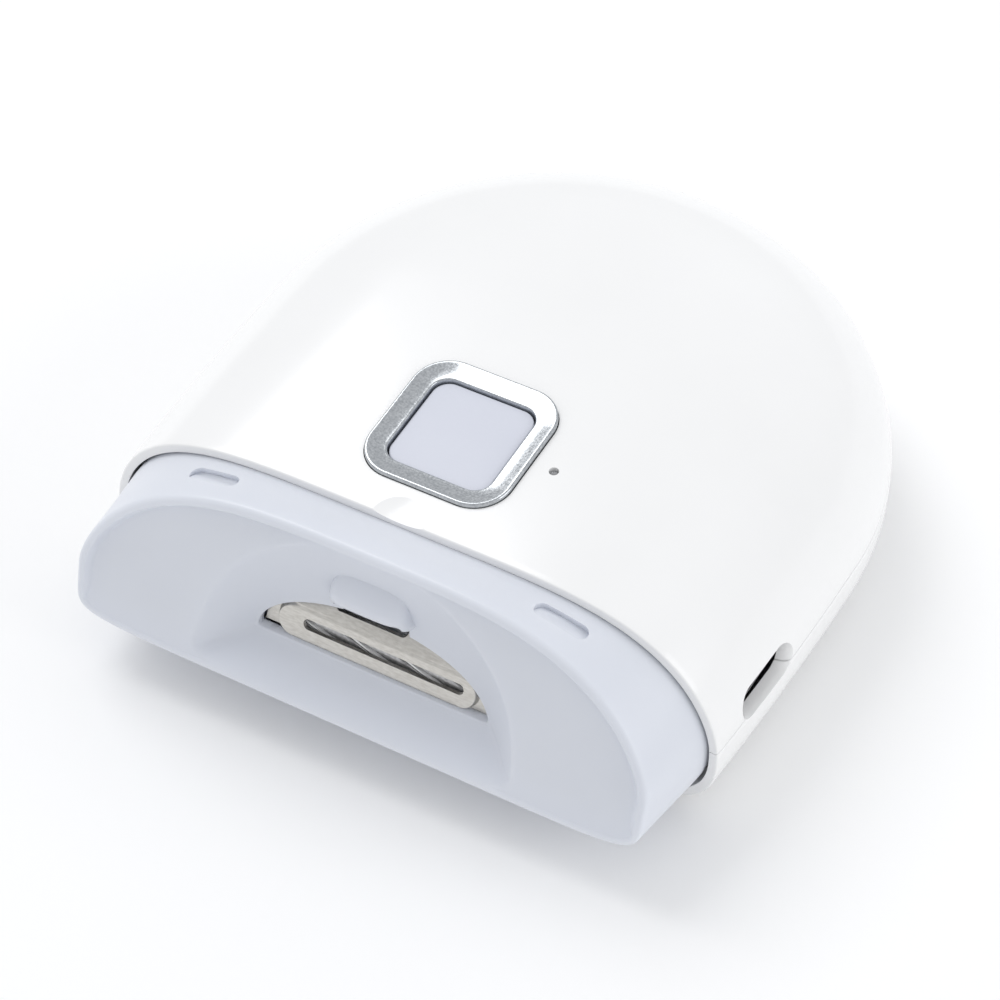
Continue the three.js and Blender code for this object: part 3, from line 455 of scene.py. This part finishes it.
def make_button_frame(material):
    """Proud outer edge, a broad band that dips towards the pad, and a thin inner edge."""
    profile = [  # share of the way from the outer to the inner edge, height above the shell
        (0.0, -2.6), (0.0, -0.3), (0.0, 0.28), (0.012, 0.38), (0.045, 0.45), (0.09, 0.475),
        (0.135, 0.46), (0.2, 0.42), (0.35, 0.33), (0.5, 0.235), (0.65, 0.155), (0.8, 0.09),
        (0.9, 0.06), (0.945, 0.06), (0.975, 0.03), (0.992, -0.02), (1.0, -0.1), (1.0, -2.6),
    ]
    rings = []
    for share, rise in profile:
        half = RING["outer"] + (RING["inner"] - RING["outer"]) * share
        corner = RING["corner"] + (RING["inner_corner"] - RING["corner"]) * share
        outline = rounded_rectangle(half, half, corner, 20, 14)
        rings.append(button_ring_points(outline, rise))
    points, faces = torus(rings)
    return make_object(
        "button_frame", points, faces, material, "housing", ["button_ring"], 50
    )


def make_button_top(material):
    """The pad: a foot under the frame, upright sides, a rounded edge and a slightly hollow top."""
    profile = [  # inset from the pad's side, height above the shell
        (-0.7, -3.4), (-0.7, -2.9), (0, -2.88), (0, -0.62), (0.03, -0.5), (0.1, -0.42),
        (PAD_ROUND, PAD_TOP),
    ]
    rings = []
    for inset, rise in profile:
        half = PAD_HALF - inset
        outline = rounded_rectangle(half, half, PAD_CORNER - inset, 14, 12)
        rings.append(button_ring_points(outline, rise))
    edge_half = PAD_HALF - PAD_ROUND
    edge = rounded_rectangle(edge_half, edge_half, PAD_CORNER - PAD_ROUND, 14, 12)
    for share in (0.9, 0.7, 0.45, 0.2):
        rings.append(button_ring_points(edge * share, PAD_TOP - PAD_HOLLOW * (1 - share * share)))
    points, faces = loft(rings)
    return make_object(
        "button_top", points, faces, material, "button", ["button_pad"], 40
    )


# ---------------------------------------------------------------- cap

# A section's upper half runs from its middle to its top and its lower half to its bottom; "upper" and
# "lower" hold the powers of their curves, across and along the height.
PLUG_SECTION = {
    "half": 36.5, "bottom": 1.6, "middle": PARTING_Z, "top": 25.9,
    "upper": (4.6, 1.72), "lower": (8.5, 2.8),
}
LIP_SECTION = {
    "half": 35.3, "bottom": 6.35, "middle": 12.8, "top": 27.6,
    "upper": (3.5, 1.5), "lower": (9.5, 7.5),
}
UPPER_COUNT = 260  # points along the upper half of each of the cap's outlines
LOWER_COUNT = 180
LIP_ROUND = (0.5, 0.55)  # the lip's rounded edge, across the lip and along the cap
LIP_FLAT = 0.8  # the lip is flat as far in as this
PANEL_EDGE = 1.7  # and the step down to the panel ends here
PANEL_DEPTH = 1.0
LOWER_PANEL_DEPTH = 0.3
DISH = {
    "centre": 8.5, "depth": 4.85, "bottom": 6.95, "squash": 4.6, "curve": 1.15, "run_out": 2.6,
}
DISH_RIM = (19.8, 18.0)  # half width and height
DISH_FLOOR = (14.5, 7.5)
WINDOW = {"half": 14.6, "bottom": 9.6, "height": 6.6}
WINDOW_ROUND = 0.18
FACE_WALL = 1.15
LIGHT_SLOT = {"half": (4.15, 1.75), "corner": 0.7, "centre": (-0.15, 17.1), "depths": (-1, 9)}
HOOD = {"x": -0.35, "back": 5.5, "square": 0.45}
POCKET = {"from": 18.1, "to": 24.2, "back": -1.9, "front": -3.9, "corner": 0.95, "depth": 0.62}


def outline_2d(upper_line, lower_line):
    """A closed outline whose upper and lower halves have fixed numbers of points."""
    upper = even_spacing(upper_line, UPPER_COUNT + 1)[:-1]
    lower = even_spacing(lower_line, LOWER_COUNT + 1)[:-1]
    return np.concatenate([upper, lower])


def section(shape):
    """A section's outline, anticlockwise from its right end."""
    cosine = np.cos(np.linspace(0, np.pi, 4001))
    sine = np.abs(np.sin(np.linspace(0, np.pi, 4001)))

    def half_outline(side, end, powers):
        across, along = powers
        x = side * shape["half"] * np.sign(cosine) * np.abs(cosine) ** (2 / across)
        z = shape["middle"] + (end - shape["middle"]) * sine ** (2 / along)
        return np.stack([x, z], axis=1)

    upper = half_outline(1, shape["top"], shape["upper"])
    return outline_2d(upper, half_outline(-1, shape["bottom"], shape["lower"]))


def window_outline():
    """The opening at the bottom of the dish: an arch on a straight sill, with softened corners."""
    half, sill = WINDOW["half"], WINDOW["bottom"]
    angle = np.linspace(0, np.pi, 2001)
    arch = [half * np.cos(angle), sill + WINDOW["height"] * np.sin(angle) ** 0.95]
    bottom = [np.linspace(-half, half, 500), np.full(500, sill)]
    outline = outline_2d(np.stack(arch, axis=1), np.stack(bottom, axis=1))
    return round_corners(outline, 12)


def round_corners(outline, passes):
    """Softens sharp corners of a closed outline by averaging neighbours."""
    for _ in range(passes):
        outline = (np.roll(outline, 1, 0) + 2 * outline + np.roll(outline, -1, 0)) / 4
    return outline


def inward(outline, distance):
    """A closed anticlockwise outline moved inwards."""
    tangent = np.roll(outline, -1, 0) - np.roll(outline, 1, 0)
    tangent /= np.linalg.norm(tangent, axis=1, keepdims=True)
    normal = np.stack([-tangent[:, 1], tangent[:, 0]], axis=1)
    return outline + normal * distance


def leaning(outline, depth):
    """Points of an outline at a depth behind the lip plane, either one value or one per point."""
    x, z = outline[:, 0], outline[:, 1]
    return np.stack([x, RIM_Y - LIP_REACH + LEAN * z + depth, z], axis=1)


def upright(outline, back):
    """Points of an outline in an upright plane at a distance behind the rim."""
    return np.stack([outline[:, 0], np.full(len(outline), RIM_Y + back), outline[:, 1]], axis=1)


def panel_depth(z):
    """The flat panel lies deepest at the top and comes forward to the thin lower lip."""
    return LOWER_PANEL_DEPTH + (PANEL_DEPTH - LOWER_PANEL_DEPTH) * smoothstep(z, 6.5, 18)


def dish_share(x, above, grow=0.0):
    """How far in from the dish's rim (0) to its floor (1) a point lies, below 0 outside the rim."""
    low, high = np.full(len(x), -1.0), np.ones(len(x))
    for _ in range(30):
        share = (low + high) / 2
        half = DISH_RIM[0] + (DISH_FLOOR[0] - DISH_RIM[0]) * share + grow
        height = DISH_RIM[1] + (DISH_FLOOR[1] - DISH_RIM[1]) * share + grow
        inside = (x / half) ** 2 + (above / height) ** 2 < 1
        low = np.where(inside, share, low)
        high = np.where(inside, high, share)
    return low


def face_depth(outline, grow=0.0):
    """Depth of the cap's front: the panel with a shallow dish that runs out at the bottom.

    A dish that is grown by the wall's thickness gives the inner side of the wall.
    """
    x, z = outline[:, 0], outline[:, 1]
    height = z - DISH["centre"]
    share = dish_share(x, np.where(height > 0, height, -DISH["squash"] * height), grow)
    wall = np.sign(share) * (1 - (1 - np.abs(share)) ** DISH["curve"])
    ramp = (z + grow - DISH["bottom"]) / DISH["run_out"]
    both = soft_min(wall, ramp, 0.3)
    deep = soft_min(both, np.ones_like(both), 0.06)
    deep = -soft_min(-deep, np.zeros_like(deep), 0.03)
    panel = panel_depth(z)
    return panel + (DISH["depth"] - panel) * np.clip(deep, 0, 1)


def lip_inset(lip, distance):
    """The lip's outline moved inwards, less along its thin lower edge."""
    share = 0.4 + 0.6 * smoothstep(lip[:, 1], 6.8, 10)
    return inward(lip, (distance * share)[:, None])


def cap_outside(plug, lip):
    """Rings from the plug's end forwards over the cap's sides and round the lip's edge."""
    rings = [upright(inward(plug, 0.25), PLUG), upright(inward(plug, 0.05), PLUG - 0.2)]
    rings += [upright(plug, back) for back in (2.5, 1.2, 0.3)]
    across, along = LIP_ROUND
    start = upright(plug, 0)
    end = leaning(lip, along)
    rings += [start + (end - start) * share for share in np.linspace(0, 1, 18)]
    for angle in np.linspace(0, math.pi / 2, 6)[1:]:
        inner = lip_inset(lip, across * (1 - math.cos(angle)))
        rings.append(leaning(inner, along * (1 - math.sin(angle))))
    return rings


def cap_front(lip, window):
    """Rings from the lip's flat down the step, over the panel and the dish and into the window."""
    rings = [leaning(lip_inset(lip, inset), 0) for inset in (0.65, LIP_FLAT)]
    for inset in np.linspace(LIP_FLAT + 0.05, PANEL_EDGE, 12):
        inner = lip_inset(lip, inset)
        share = smoothstep(inset, LIP_FLAT, PANEL_EDGE)
        rings.append(leaning(inner, face_depth(inner) * share))
    panel_edge = lip_inset(lip, PANEL_EDGE)
    for share in np.linspace(0, 1, 64)[1:]:
        ring = panel_edge + (window - panel_edge) * share
        rings.append(leaning(ring, face_depth(ring)))
    depth = face_depth(window)
    for angle in np.linspace(0, math.pi / 2, 5)[1:]:
        ring = inward(window, WINDOW_ROUND * math.sin(angle))
        rings.append(leaning(ring, depth + WINDOW_ROUND * (1 - math.cos(angle))))
    rings.append(leaning(inward(window, WINDOW_ROUND), depth + 1.1))
    return rings


def cap_inside(plug, lip, window):
    """Rings from the window's rear edge back along the inner side of the wall."""
    inner_edge = inward(lip, 2.9)
    rings = []
    for share in np.linspace(0.04, 1, 24):
        ring = window + (inner_edge - window) * share
        rings.append(leaning(ring, face_depth(ring, 1.0) + FACE_WALL))
    inner_plug = inward(plug, CAP_WALL)
    start = leaning(inward(lip, CAP_WALL + 0.6), face_depth(inward(lip, 2.6), 1.0) + 1.8)
    end = upright(inner_plug, 0)
    rings += [start + (end - start) * share for share in np.linspace(0, 1, 6)]
    rings.append(upright(inner_plug, PLUG))
    return rings


def make_cap_body(material):
    plug = section(PLUG_SECTION)
    lip = section(LIP_SECTION)
    window = window_outline()
    rings = cap_outside(plug, lip) + cap_front(lip, window) + cap_inside(plug, lip, window)
    points, faces = torus(rings)
    cap = make_object("cap_body", points, faces, material, None)
    boolean(cap, hood_solid(), "UNION")
    boolean(cap, leaning_bar("light_slot", LIGHT_SLOT))
    for side in (-1, 1):
        boolean(cap, pocket(side))
    shade(cap, 38)
    place(cap, "debris_cap", ["debris_cap"])
    return cap


def hood_solid():
    """The bulge over the work light: a rounded bar that fades into the dish above it."""
    levels = np.array([  # z, half width, depth of its front
        (17.85, 5.35, 4.9), (17.87, 5.35, 2.9), (17.95, 5.3, 2.5), (18.3, 5.2, 2.2),
        (18.6, 5.05, 1.95), (19.0, 4.95, 1.7), (19.4, 4.88, 1.6), (19.9, 4.82, 1.68),
        (20.5, 4.7, 1.97), (21.2, 4.5, 2.42), (21.9, 4.25, 2.9), (22.5, 4.0, 3.3),
        (23.0, 3.7, 3.7), (23.2, 3.5, 4.1),
    ])
    angle = np.linspace(0, np.pi, 61)
    across = np.sign(np.cos(angle)) * np.abs(np.cos(angle)) ** HOOD["square"]
    forward = np.sin(angle) ** HOOD["square"]
    rings = []
    for z in np.linspace(levels[0, 0], levels[-1, 0], 60):
        half = np.interp(z, levels[:, 0], levels[:, 1])
        front = np.interp(z, levels[:, 0], levels[:, 2])
        outline = np.stack([HOOD["x"] + half * across, np.full(len(angle), z)], axis=1)
        rings.append(leaning(outline, HOOD["back"] - (HOOD["back"] - front) * forward))
    return helper_solid("hood", *loft(rings))


def leaning_bar(name, shape):
    """A bar with rounded edges for a boolean, along the cap's axis and cut off parallel to its lip."""
    outline = rounded_rectangle(*shape["half"], shape["corner"]) + np.array(shape["centre"])
    rings = [leaning(outline, depth) for depth in shape["depths"]]
    return helper_solid(name, *loft(rings))


def pocket(side):
    """A shallow notch in the cap's top with an upright back edge."""
    front, back_edge = POCKET["front"], POCKET["back"]
    half_x = (POCKET["to"] - POCKET["from"]) / 2
    outline = rounded_rectangle(half_x, (back_edge - front) / 2, POCKET["corner"])
    x = side * (POCKET["from"] + POCKET["to"]) / 2 + outline[:, 0]
    back = (back_edge + front) / 2 + outline[:, 1]
    surface = cap_top_z(np.abs(x), back)
    ramp = np.clip(smoothstep(back, front, back_edge - 0.7), 0.02, 1)
    floor = surface - POCKET["depth"] * ramp
    rings = [np.stack([x, RIM_Y + back, level], axis=1) for level in (floor, surface + 3)]
    return helper_solid("pocket", *loft(rings))


def cap_top_z(x, back):
    """Height of the cap's upper side between the rim and the lip."""
    plug_z = section_top(PLUG_SECTION, x)
    lip_z = section_top(LIP_SECTION, x)
    lip_back = -LIP_REACH + LEAN * lip_z + LIP_ROUND[1]
    return plug_z + (lip_z - plug_z) * np.clip(back / lip_back, 0, 1)


def section_top(shape, x):
    """Height of a section's upper side at a distance from the middle."""
    across, up = shape["upper"]
    share = np.clip(np.abs(x) / shape["half"], 0, 1)
    return shape["middle"] + (shape["top"] - shape["middle"]) * (1 - share**across) ** (1 / up)


# ---------------------------------------------------------------- guard and cutter

GUARD_DEPTH = 5.05  # depth of the band's front
PLATEAU = {"x": 0.15, "half": 12.45, "z": 11.65, "height": 3.9}  # the raised band
SLOT = {"x": 1.0, "half": 10.0, "z": 11.95, "height": 1.3}
SHEET = 0.4
EDGE_GAP = (0.22, 0.28)  # gap round the sheet, and what is added to it at the lower left
LIGHT_NOTCH = {"half": (4.5, 1.5), "corner": 0.6, "centre": (-1.3, 15.9), "depths": (2, 12)}
END_DROP = (0.2, 0.62)  # how far the sheet lies behind the band, along it and at its ends
UPPER_FALL = 0.95  # how far the sheet above the band falls back per millimetre
FLUTES = 7
LEAD = 47.6  # length in which a flute goes round once
TIP_SHARE = 0.998  # keeps the tips just inside the CAD's roller


def stadium(shape, grow=0.0):
    """A band with round ends, as an outline whose halves have fixed numbers of points."""
    radius = shape["height"] / 2 + grow
    half = shape["half"] + grow
    angle = np.linspace(0, np.pi / 2, 200)
    right = np.stack([half - radius + radius * np.cos(angle), radius * np.sin(angle)], axis=1)
    left = right[::-1] * [-1, 1]
    upper = np.concatenate([right, left])
    return outline_2d(upper, -upper) + [shape["x"], shape["z"]]


def flange_depth(outline):
    """Depth of the sheet round its band: recessed ends, and an upper side that falls back."""
    x, z = outline[:, 0], outline[:, 1]
    along, at_ends = END_DROP
    drop = along + (at_ends - along) * smoothstep(np.abs(x - PLATEAU["x"]), 9.5, 12)
    above = np.clip(z - PLATEAU["z"] - PLATEAU["height"] / 2 - 0.2, 0, None)
    return GUARD_DEPTH + drop + UPPER_FALL * above


def guard_rings(edge, back):
    """Rings from the slot out to the sheet's edge, on its front or, moved by back, on its rear."""
    slot = stadium(SLOT)
    band = stadium(PLATEAU, -0.2)
    rings = []
    for share in np.linspace(0, 1, 14):
        rings.append(leaning(slot + (band - slot) * share, GUARD_DEPTH + back))
    foot = stadium(PLATEAU, 0.12)
    drop = flange_depth(foot) - GUARD_DEPTH
    for share in np.linspace(0, 1, 7)[1:]:
        ring = band + (foot - band) * share
        rings.append(leaning(ring, GUARD_DEPTH + back + drop * smoothstep(share, 0, 1)))
    for share in np.linspace(0, 1, 16)[1:]:
        ring = foot + (edge - foot) * share
        rings.append(leaning(ring, flange_depth(ring) + back))
    return rings


def guard_edge():
    """The sheet's outline, inside the window's."""
    window = window_outline()
    lower_left = smoothstep(-window[:, 0], 8, 11) * smoothstep(-window[:, 1], -11.8, -10.6)
    gap, more = EDGE_GAP
    return inward(window, (gap + more * lower_left)[:, None])


def make_slot_guard(material):
    slot = stadium(SLOT)
    edge = guard_edge()
    rings = guard_rings(edge, 0)
    rings += guard_rings(edge, SHEET)[::-1]
    rings.append(leaning(slot, GUARD_DEPTH + SHEET / 2))
    rings.append(leaning(slot, GUARD_DEPTH + 0.06))
    points, faces = torus(rings)
    guard = make_object("slot_guard", points, faces, material, None)
    boolean(guard, leaning_bar("light_notch", LIGHT_NOTCH))
    shade(guard, 30)
    place(guard, "housing", ["blade_guard"])
    return guard


def cutter_rings(section_points):
    """Rings along the roller, through points given as pitches round it and shares of its radius."""
    low, high = box_mm("cutter_roller")
    shaft_low, shaft_high = box_mm("cutter_shaft")
    axis_y, axis_z = (shaft_low[1:] + shaft_high[1:]) / 2
    radius = (high[1] - low[1]) / 2 * TIP_SHARE * section_points[:, 1]
    rings = []
    for x in np.linspace(low[0], high[0], 90):
        angle = 2 * math.pi * (section_points[:, 0] / FLUTES + (x - low[0]) / LEAD)
        y = axis_y + radius * np.cos(angle)
        z = axis_z + radius * np.sin(angle)
        rings.append(np.stack([np.full(len(angle), x), y, z], axis=1))
    return rings


def make_cutter_spiral(material):
    """Seven broad lands that twist along the roller, with a valley between each pair."""
    tooth = np.array([  # pitches round the roller, share of its radius
        (0.0, 0.93), (0.03, 0.955), (0.15, 0.965), (0.3, 0.968), (0.45, 0.965), (0.6, 0.95),
        (0.65, 0.92), (0.66, 0.72), (0.7, 0.63), (0.78, 0.6), (0.88, 0.6), (0.96, 0.65),
        (0.985, 0.72),
    ])
    all_teeth = np.concatenate([tooth + [i, 0] for i in range(FLUTES)])
    points, faces = loft(cutter_rings(all_teeth))
    return make_object(
        "cutter_spiral", points, faces, material, "cutter", ["cutter_roller"], 28
    )


def make_cutter_edges(material):
    """The cutting edge that stands in each valley of the roller, a thin ridge that carries a painted
    highlight.
    """
    edge = np.array([  # pitches round the roller, share of its radius
        (0.745, 0.55), (0.745, 0.975), (0.755, 1.0), (0.845, 1.0), (0.855, 0.975), (0.855, 0.55),
    ])
    points, faces = [], []
    for i in range(FLUTES):
        edge_points, edge_faces = loft(cutter_rings(edge + [i, 0]))
        faces += [[len(points) + v for v in face] for face in edge_faces]
        points += list(edge_points)
    return make_object("cutter_edges", points, faces, material, "cutter", smooth=28)


# ---------------------------------------------------------------- materials


def new_material(name, color, roughness, metallic=0.0, **settings):
    """A principled material; settings are values of its own sockets."""
    material = bpy.data.materials.new(name)
    material.use_nodes = True
    tree = material.node_tree
    shader = tree.nodes["Principled BSDF"]
    shader.inputs["Base Color"].default_value = (*color, 1)
    shader.inputs["Roughness"].default_value = roughness
    shader.inputs["Metallic"].default_value = metallic
    for socket, value in settings.items():
        shader.inputs[socket.replace("_", " ")].default_value = value
    return material


def texture(material, scale, detail=4.0, stretch=(1, 1, 1)):
    """A noise over the object's own coordinates; returns its node."""
    tree = material.node_tree
    coordinates = tree.nodes.new("ShaderNodeTexCoord")
    mapping = tree.nodes.new("ShaderNodeMapping")
    mapping.inputs["Scale"].default_value = stretch
    noise = tree.nodes.new("ShaderNodeTexNoise")
    noise.inputs["Scale"].default_value = scale
    noise.inputs["Detail"].default_value = detail
    tree.links.new(coordinates.outputs["Object"], mapping.inputs["Vector"])
    tree.links.new(mapping.outputs["Vector"], noise.inputs["Vector"])
    return noise


def vary_color(material, noise, dark, light):
    """Lets a noise shift the colour between two values."""
    tree = material.node_tree
    ramp = tree.nodes.new("ShaderNodeValToRGB")
    ramp.color_ramp.elements[0].position = 0.3
    ramp.color_ramp.elements[0].color = (*dark, 1)
    ramp.color_ramp.elements[1].position = 0.7
    ramp.color_ramp.elements[1].color = (*light, 1)
    tree.links.new(noise.outputs["Fac"], ramp.inputs["Fac"])
    tree.links.new(ramp.outputs["Color"], tree.nodes["Principled BSDF"].inputs["Base Color"])


def vary_roughness(material, noise, low, high):
    """Lets a noise shift the gloss between two values."""
    tree = material.node_tree
    spread = tree.nodes.new("ShaderNodeMapRange")
    spread.inputs["From Min"].default_value = 0.3
    spread.inputs["From Max"].default_value = 0.7
    spread.inputs["To Min"].default_value = low
    spread.inputs["To Max"].default_value = high
    tree.links.new(noise.outputs["Fac"], spread.inputs["Value"])
    tree.links.new(spread.outputs["Result"], tree.nodes["Principled BSDF"].inputs["Roughness"])


def add_bump(material, noise, strength, distance):
    tree = material.node_tree
    bump = tree.nodes.new("ShaderNodeBump")
    bump.inputs["Strength"].default_value = strength
    bump.inputs["Distance"].default_value = distance
    tree.links.new(noise.outputs["Fac"], bump.inputs["Height"])
    tree.links.new(bump.outputs["Normal"], tree.nodes["Principled BSDF"].inputs["Normal"])


def moulded(name, dark, light, roughness, grain=2500, bump=0.03, **settings):
    """Moulded plastic: faint clouding, a fine grain and uneven gloss."""
    material = new_material(name, light, roughness[0], **settings)
    clouds = texture(material, 60, 3)
    vary_color(material, clouds, dark, light)
    fine = texture(material, grain, 3)
    vary_roughness(material, fine, *roughness)
    add_bump(material, fine, bump, 0.0001)
    return material


def metal(name, dark, light, roughness, stretch=(1, 1, 1), grain=3000, bump=0.05, **settings):
    """Worked metal: a fine, possibly stretched grain in colour, gloss and height."""
    material = new_material(name, light, roughness[0], 1.0, **settings)
    grains = texture(material, grain, 5, stretch)
    vary_color(material, grains, dark, light)
    vary_roughness(material, grains, *roughness)
    add_bump(material, grains, bump, 0.0001)
    return material


WHITE = moulded(
    "white_gloss_plastic", (0.88, 0.88, 0.878), (0.9, 0.9, 0.898), (0.2, 0.26),
    Coat_Weight=0.35, Coat_Roughness=0.12,
)
MILKY = moulded(
    "milky_cap_plastic", (0.69, 0.715, 0.775), (0.715, 0.74, 0.8), (0.3, 0.38),
    Subsurface_Weight=0.3, Subsurface_Scale=0.002, Subsurface_Radius=(1, 1, 1),
)
PAD_GREY = moulded("pad_plastic", (0.62, 0.64, 0.72), (0.655, 0.675, 0.75), (0.42, 0.5))
CHROME = metal(
    "satin_chrome", (0.4, 0.42, 0.44), (0.6, 0.62, 0.64), (0.14, 0.24), grain=4000, bump=0.03
)
GUARD_STEEL = metal(
    "guard_steel", (0.54, 0.52, 0.48), (0.70, 0.68, 0.64), (0.3, 0.42), (0.3, 1, 1), 4000, 0.06
)
CUTTER_STEEL = metal(
    "cutter_steel", (0.36, 0.36, 0.365), (0.64, 0.64, 0.645), (0.3, 0.45), (0.5, 1, 1), 5000, 0.1,
    Metallic=0.6,
)
# near-white and not metallic: a painted highlight along the roller's cutting edges, not the colour of
# the steel
PAINTED_EDGE_HIGHLIGHT = metal("painted_edge_highlight", (0.95, 0.95, 0.95), (0.98, 0.98, 0.98), (0.2, 0.3), Metallic=0.0)
TURNED_STEEL = metal("turned_steel", (0.5, 0.5, 0.5), (0.68, 0.68, 0.68), (0.22, 0.35), (1, 1, 1))
DRAWN_STEEL = metal("drawn_steel", (0.5, 0.5, 0.51), (0.66, 0.66, 0.67), (0.3, 0.42), (0.2, 1, 1))
BRASS = metal("machined_brass", (0.55, 0.38, 0.16), (0.72, 0.53, 0.26), (0.25, 0.4))
FOIL = metal("pouch_foil", (0.55, 0.56, 0.57), (0.68, 0.69, 0.7), (0.35, 0.5), (1, 1, 1), 600, 0.2)
FRAME_PLASTIC = moulded("frame_plastic", (0.035, 0.037, 0.042), (0.055, 0.058, 0.064), (0.45, 0.6))
ACETAL = moulded("acetal", (0.74, 0.72, 0.66), (0.82, 0.8, 0.75), (0.35, 0.5))
BLACK = moulded("black_plastic", (0.008, 0.008, 0.009), (0.016, 0.016, 0.018), (0.35, 0.5))
BOARD = moulded("solder_mask", (0.008, 0.07, 0.03), (0.014, 0.105, 0.05), (0.25, 0.4), 800)
CLEAR = moulded(
    "clear_plastic", (0.7, 0.71, 0.73), (0.78, 0.79, 0.81), (0.08, 0.14), Transmission_Weight=0.6
)
RED_WIRE = moulded("red_insulation", (0.36, 0.012, 0.012), (0.46, 0.02, 0.02), (0.4, 0.55))
BLACK_WIRE = moulded("black_insulation", (0.01, 0.01, 0.01), (0.02, 0.02, 0.02), (0.4, 0.55))

KEPT_NODES = {
    "switch_plunger": BLACK,
    "tact_switch": BLACK,
    "switch_board": BOARD,
    "main_board": BOARD,
    "control_chip": BLACK,
    "usb_socket_shell": DRAWN_STEEL,
    "usb_socket_tongue": BLACK,
    "battery_cell": FOIL,
    "battery_lead_red": RED_WIRE,
    "motor_lead_red": RED_WIRE,
    "battery_lead_black": BLACK_WIRE,
    "motor_lead_black": BLACK_WIRE,
    "motor_can": DRAWN_STEEL,
    "motor_end_cap": BLACK,
    "motor_shaft": TURNED_STEEL,
    "motor_pinion": BRASS,
    "cutter_frame": FRAME_PLASTIC,
    "cutter_bush_left": BRASS,
    "cutter_bush_right": BRASS,
    "cutter_shaft": TURNED_STEEL,
    "cutter_gear": BRASS,
    "idler_gear": ACETAL,
    "idler_axle": TURNED_STEEL,
    "status_led": CLEAR,
    "status_lens": CLEAR,
    "work_light_led": CLEAR,
    "work_light_lens": CLEAR,
}


def finish_kept_nodes():
    """Gives every CAD node that stays in view a worked material."""
    for name, node in nodes.items():
        material = KEPT_NODES.get(name)
        if material is None and "_screw_" in name:
            material = TURNED_STEEL
        if material is not None:
            node.data.materials.clear()
            node.data.materials.append(material)


# ---------------------------------------------------------------- camera, floor and light


CAMERA = {  # degrees and millimetres
    "azimuth": 30.755, "elevation": 46.195, "roll": -1.591, "distance": 324.08,
    "target": (6.003, RIM_Y + 20.475, 15.0), "lens": 105.8688, "shift": (-0.04709, -0.0061),
}


def add_camera():
    """The camera at the angle and distance of the view that the model is built from."""
    azimuth, elevation, roll = (math.radians(CAMERA[k]) for k in ("azimuth", "elevation", "roll"))
    right = Vector((math.cos(azimuth), math.sin(azimuth), 0))
    level = Vector((-math.sin(azimuth), math.cos(azimuth), 0))
    forward = level * math.cos(elevation) - Vector((0, 0, math.sin(elevation)))
    up = right.cross(forward)
    turned_right = right * math.cos(roll) + up * math.sin(roll)
    turned_up = up * math.cos(roll) - right * math.sin(roll)
    data = bpy.data.cameras.new("camera")
    data.sensor_width = 36
    data.lens = CAMERA["lens"]
    data.shift_x, data.shift_y = CAMERA["shift"]
    data.clip_start = 0.01
    camera = bpy.data.objects.new("camera", data)
    bpy.context.scene.collection.objects.link(camera)
    turn = Matrix((turned_right, turned_up, -forward)).transposed()
    position = (Vector(CAMERA["target"]) - forward * CAMERA["distance"]) * MM
    camera.matrix_world = Matrix.Translation(position) @ turn.to_4x4()
    bpy.context.scene.camera = camera


def add_floor():
    """A plain pale floor under the object."""
    size = 3.0
    mesh = bpy.data.meshes.new("floor")
    corners = [(-size, -size, 0), (size, -size, 0), (size, size, 0), (-size, size, 0)]
    mesh.from_pydata(corners, [], [(0, 1, 2, 3)])
    floor = bpy.data.objects.new("floor", mesh)
    bpy.context.scene.collection.objects.link(floor)
    mesh.materials.append(new_material("floor_white", (0.97, 0.97, 0.97), 0.9))


def add_light(name, position, target, size, power):
    """A soft rectangular light that points at a target."""
    data = bpy.data.lights.new(name, "AREA")
    data.shape = "RECTANGLE"
    data.size, data.size_y = size
    data.energy = power
    light = bpy.data.objects.new(name, data)
    bpy.context.scene.collection.objects.link(light)
    light.location = position
    direction = Vector(target) - Vector(position)
    light.rotation_euler = direction.to_track_quat("-Z", "Y").to_euler()


def add_studio():
    """Even white surroundings with a soft key light and a weak light from the right."""
    world = bpy.data.worlds.new("studio")
    world.use_nodes = True
    background = world.node_tree.nodes["Background"]
    background.inputs["Color"].default_value = (0.97, 0.98, 1.0, 1)
    background.inputs["Strength"].default_value = 0.76
    bpy.context.scene.world = world
    add_light("key", (-0.6, 0.25, 0.9), (0, 0, 0), (0.65, 0.65), 4)
    add_light("right_fill", (0.9, 0.15, 0.35), (0, 0, 0.01), (0.6, 0.6), 2)
    bpy.context.scene.view_settings.view_transform = "Standard"


add_camera()
make_shell_top(WHITE)
make_shell_base(WHITE)
make_button_frame(CHROME)
make_button_top(PAD_GREY)
make_cap_body(MILKY)
make_slot_guard(GUARD_STEEL)
make_cutter_spiral(CUTTER_STEEL)
make_cutter_edges(PAINTED_EDGE_HIGHLIGHT)
finish_kept_nodes()
add_floor()
add_studio()
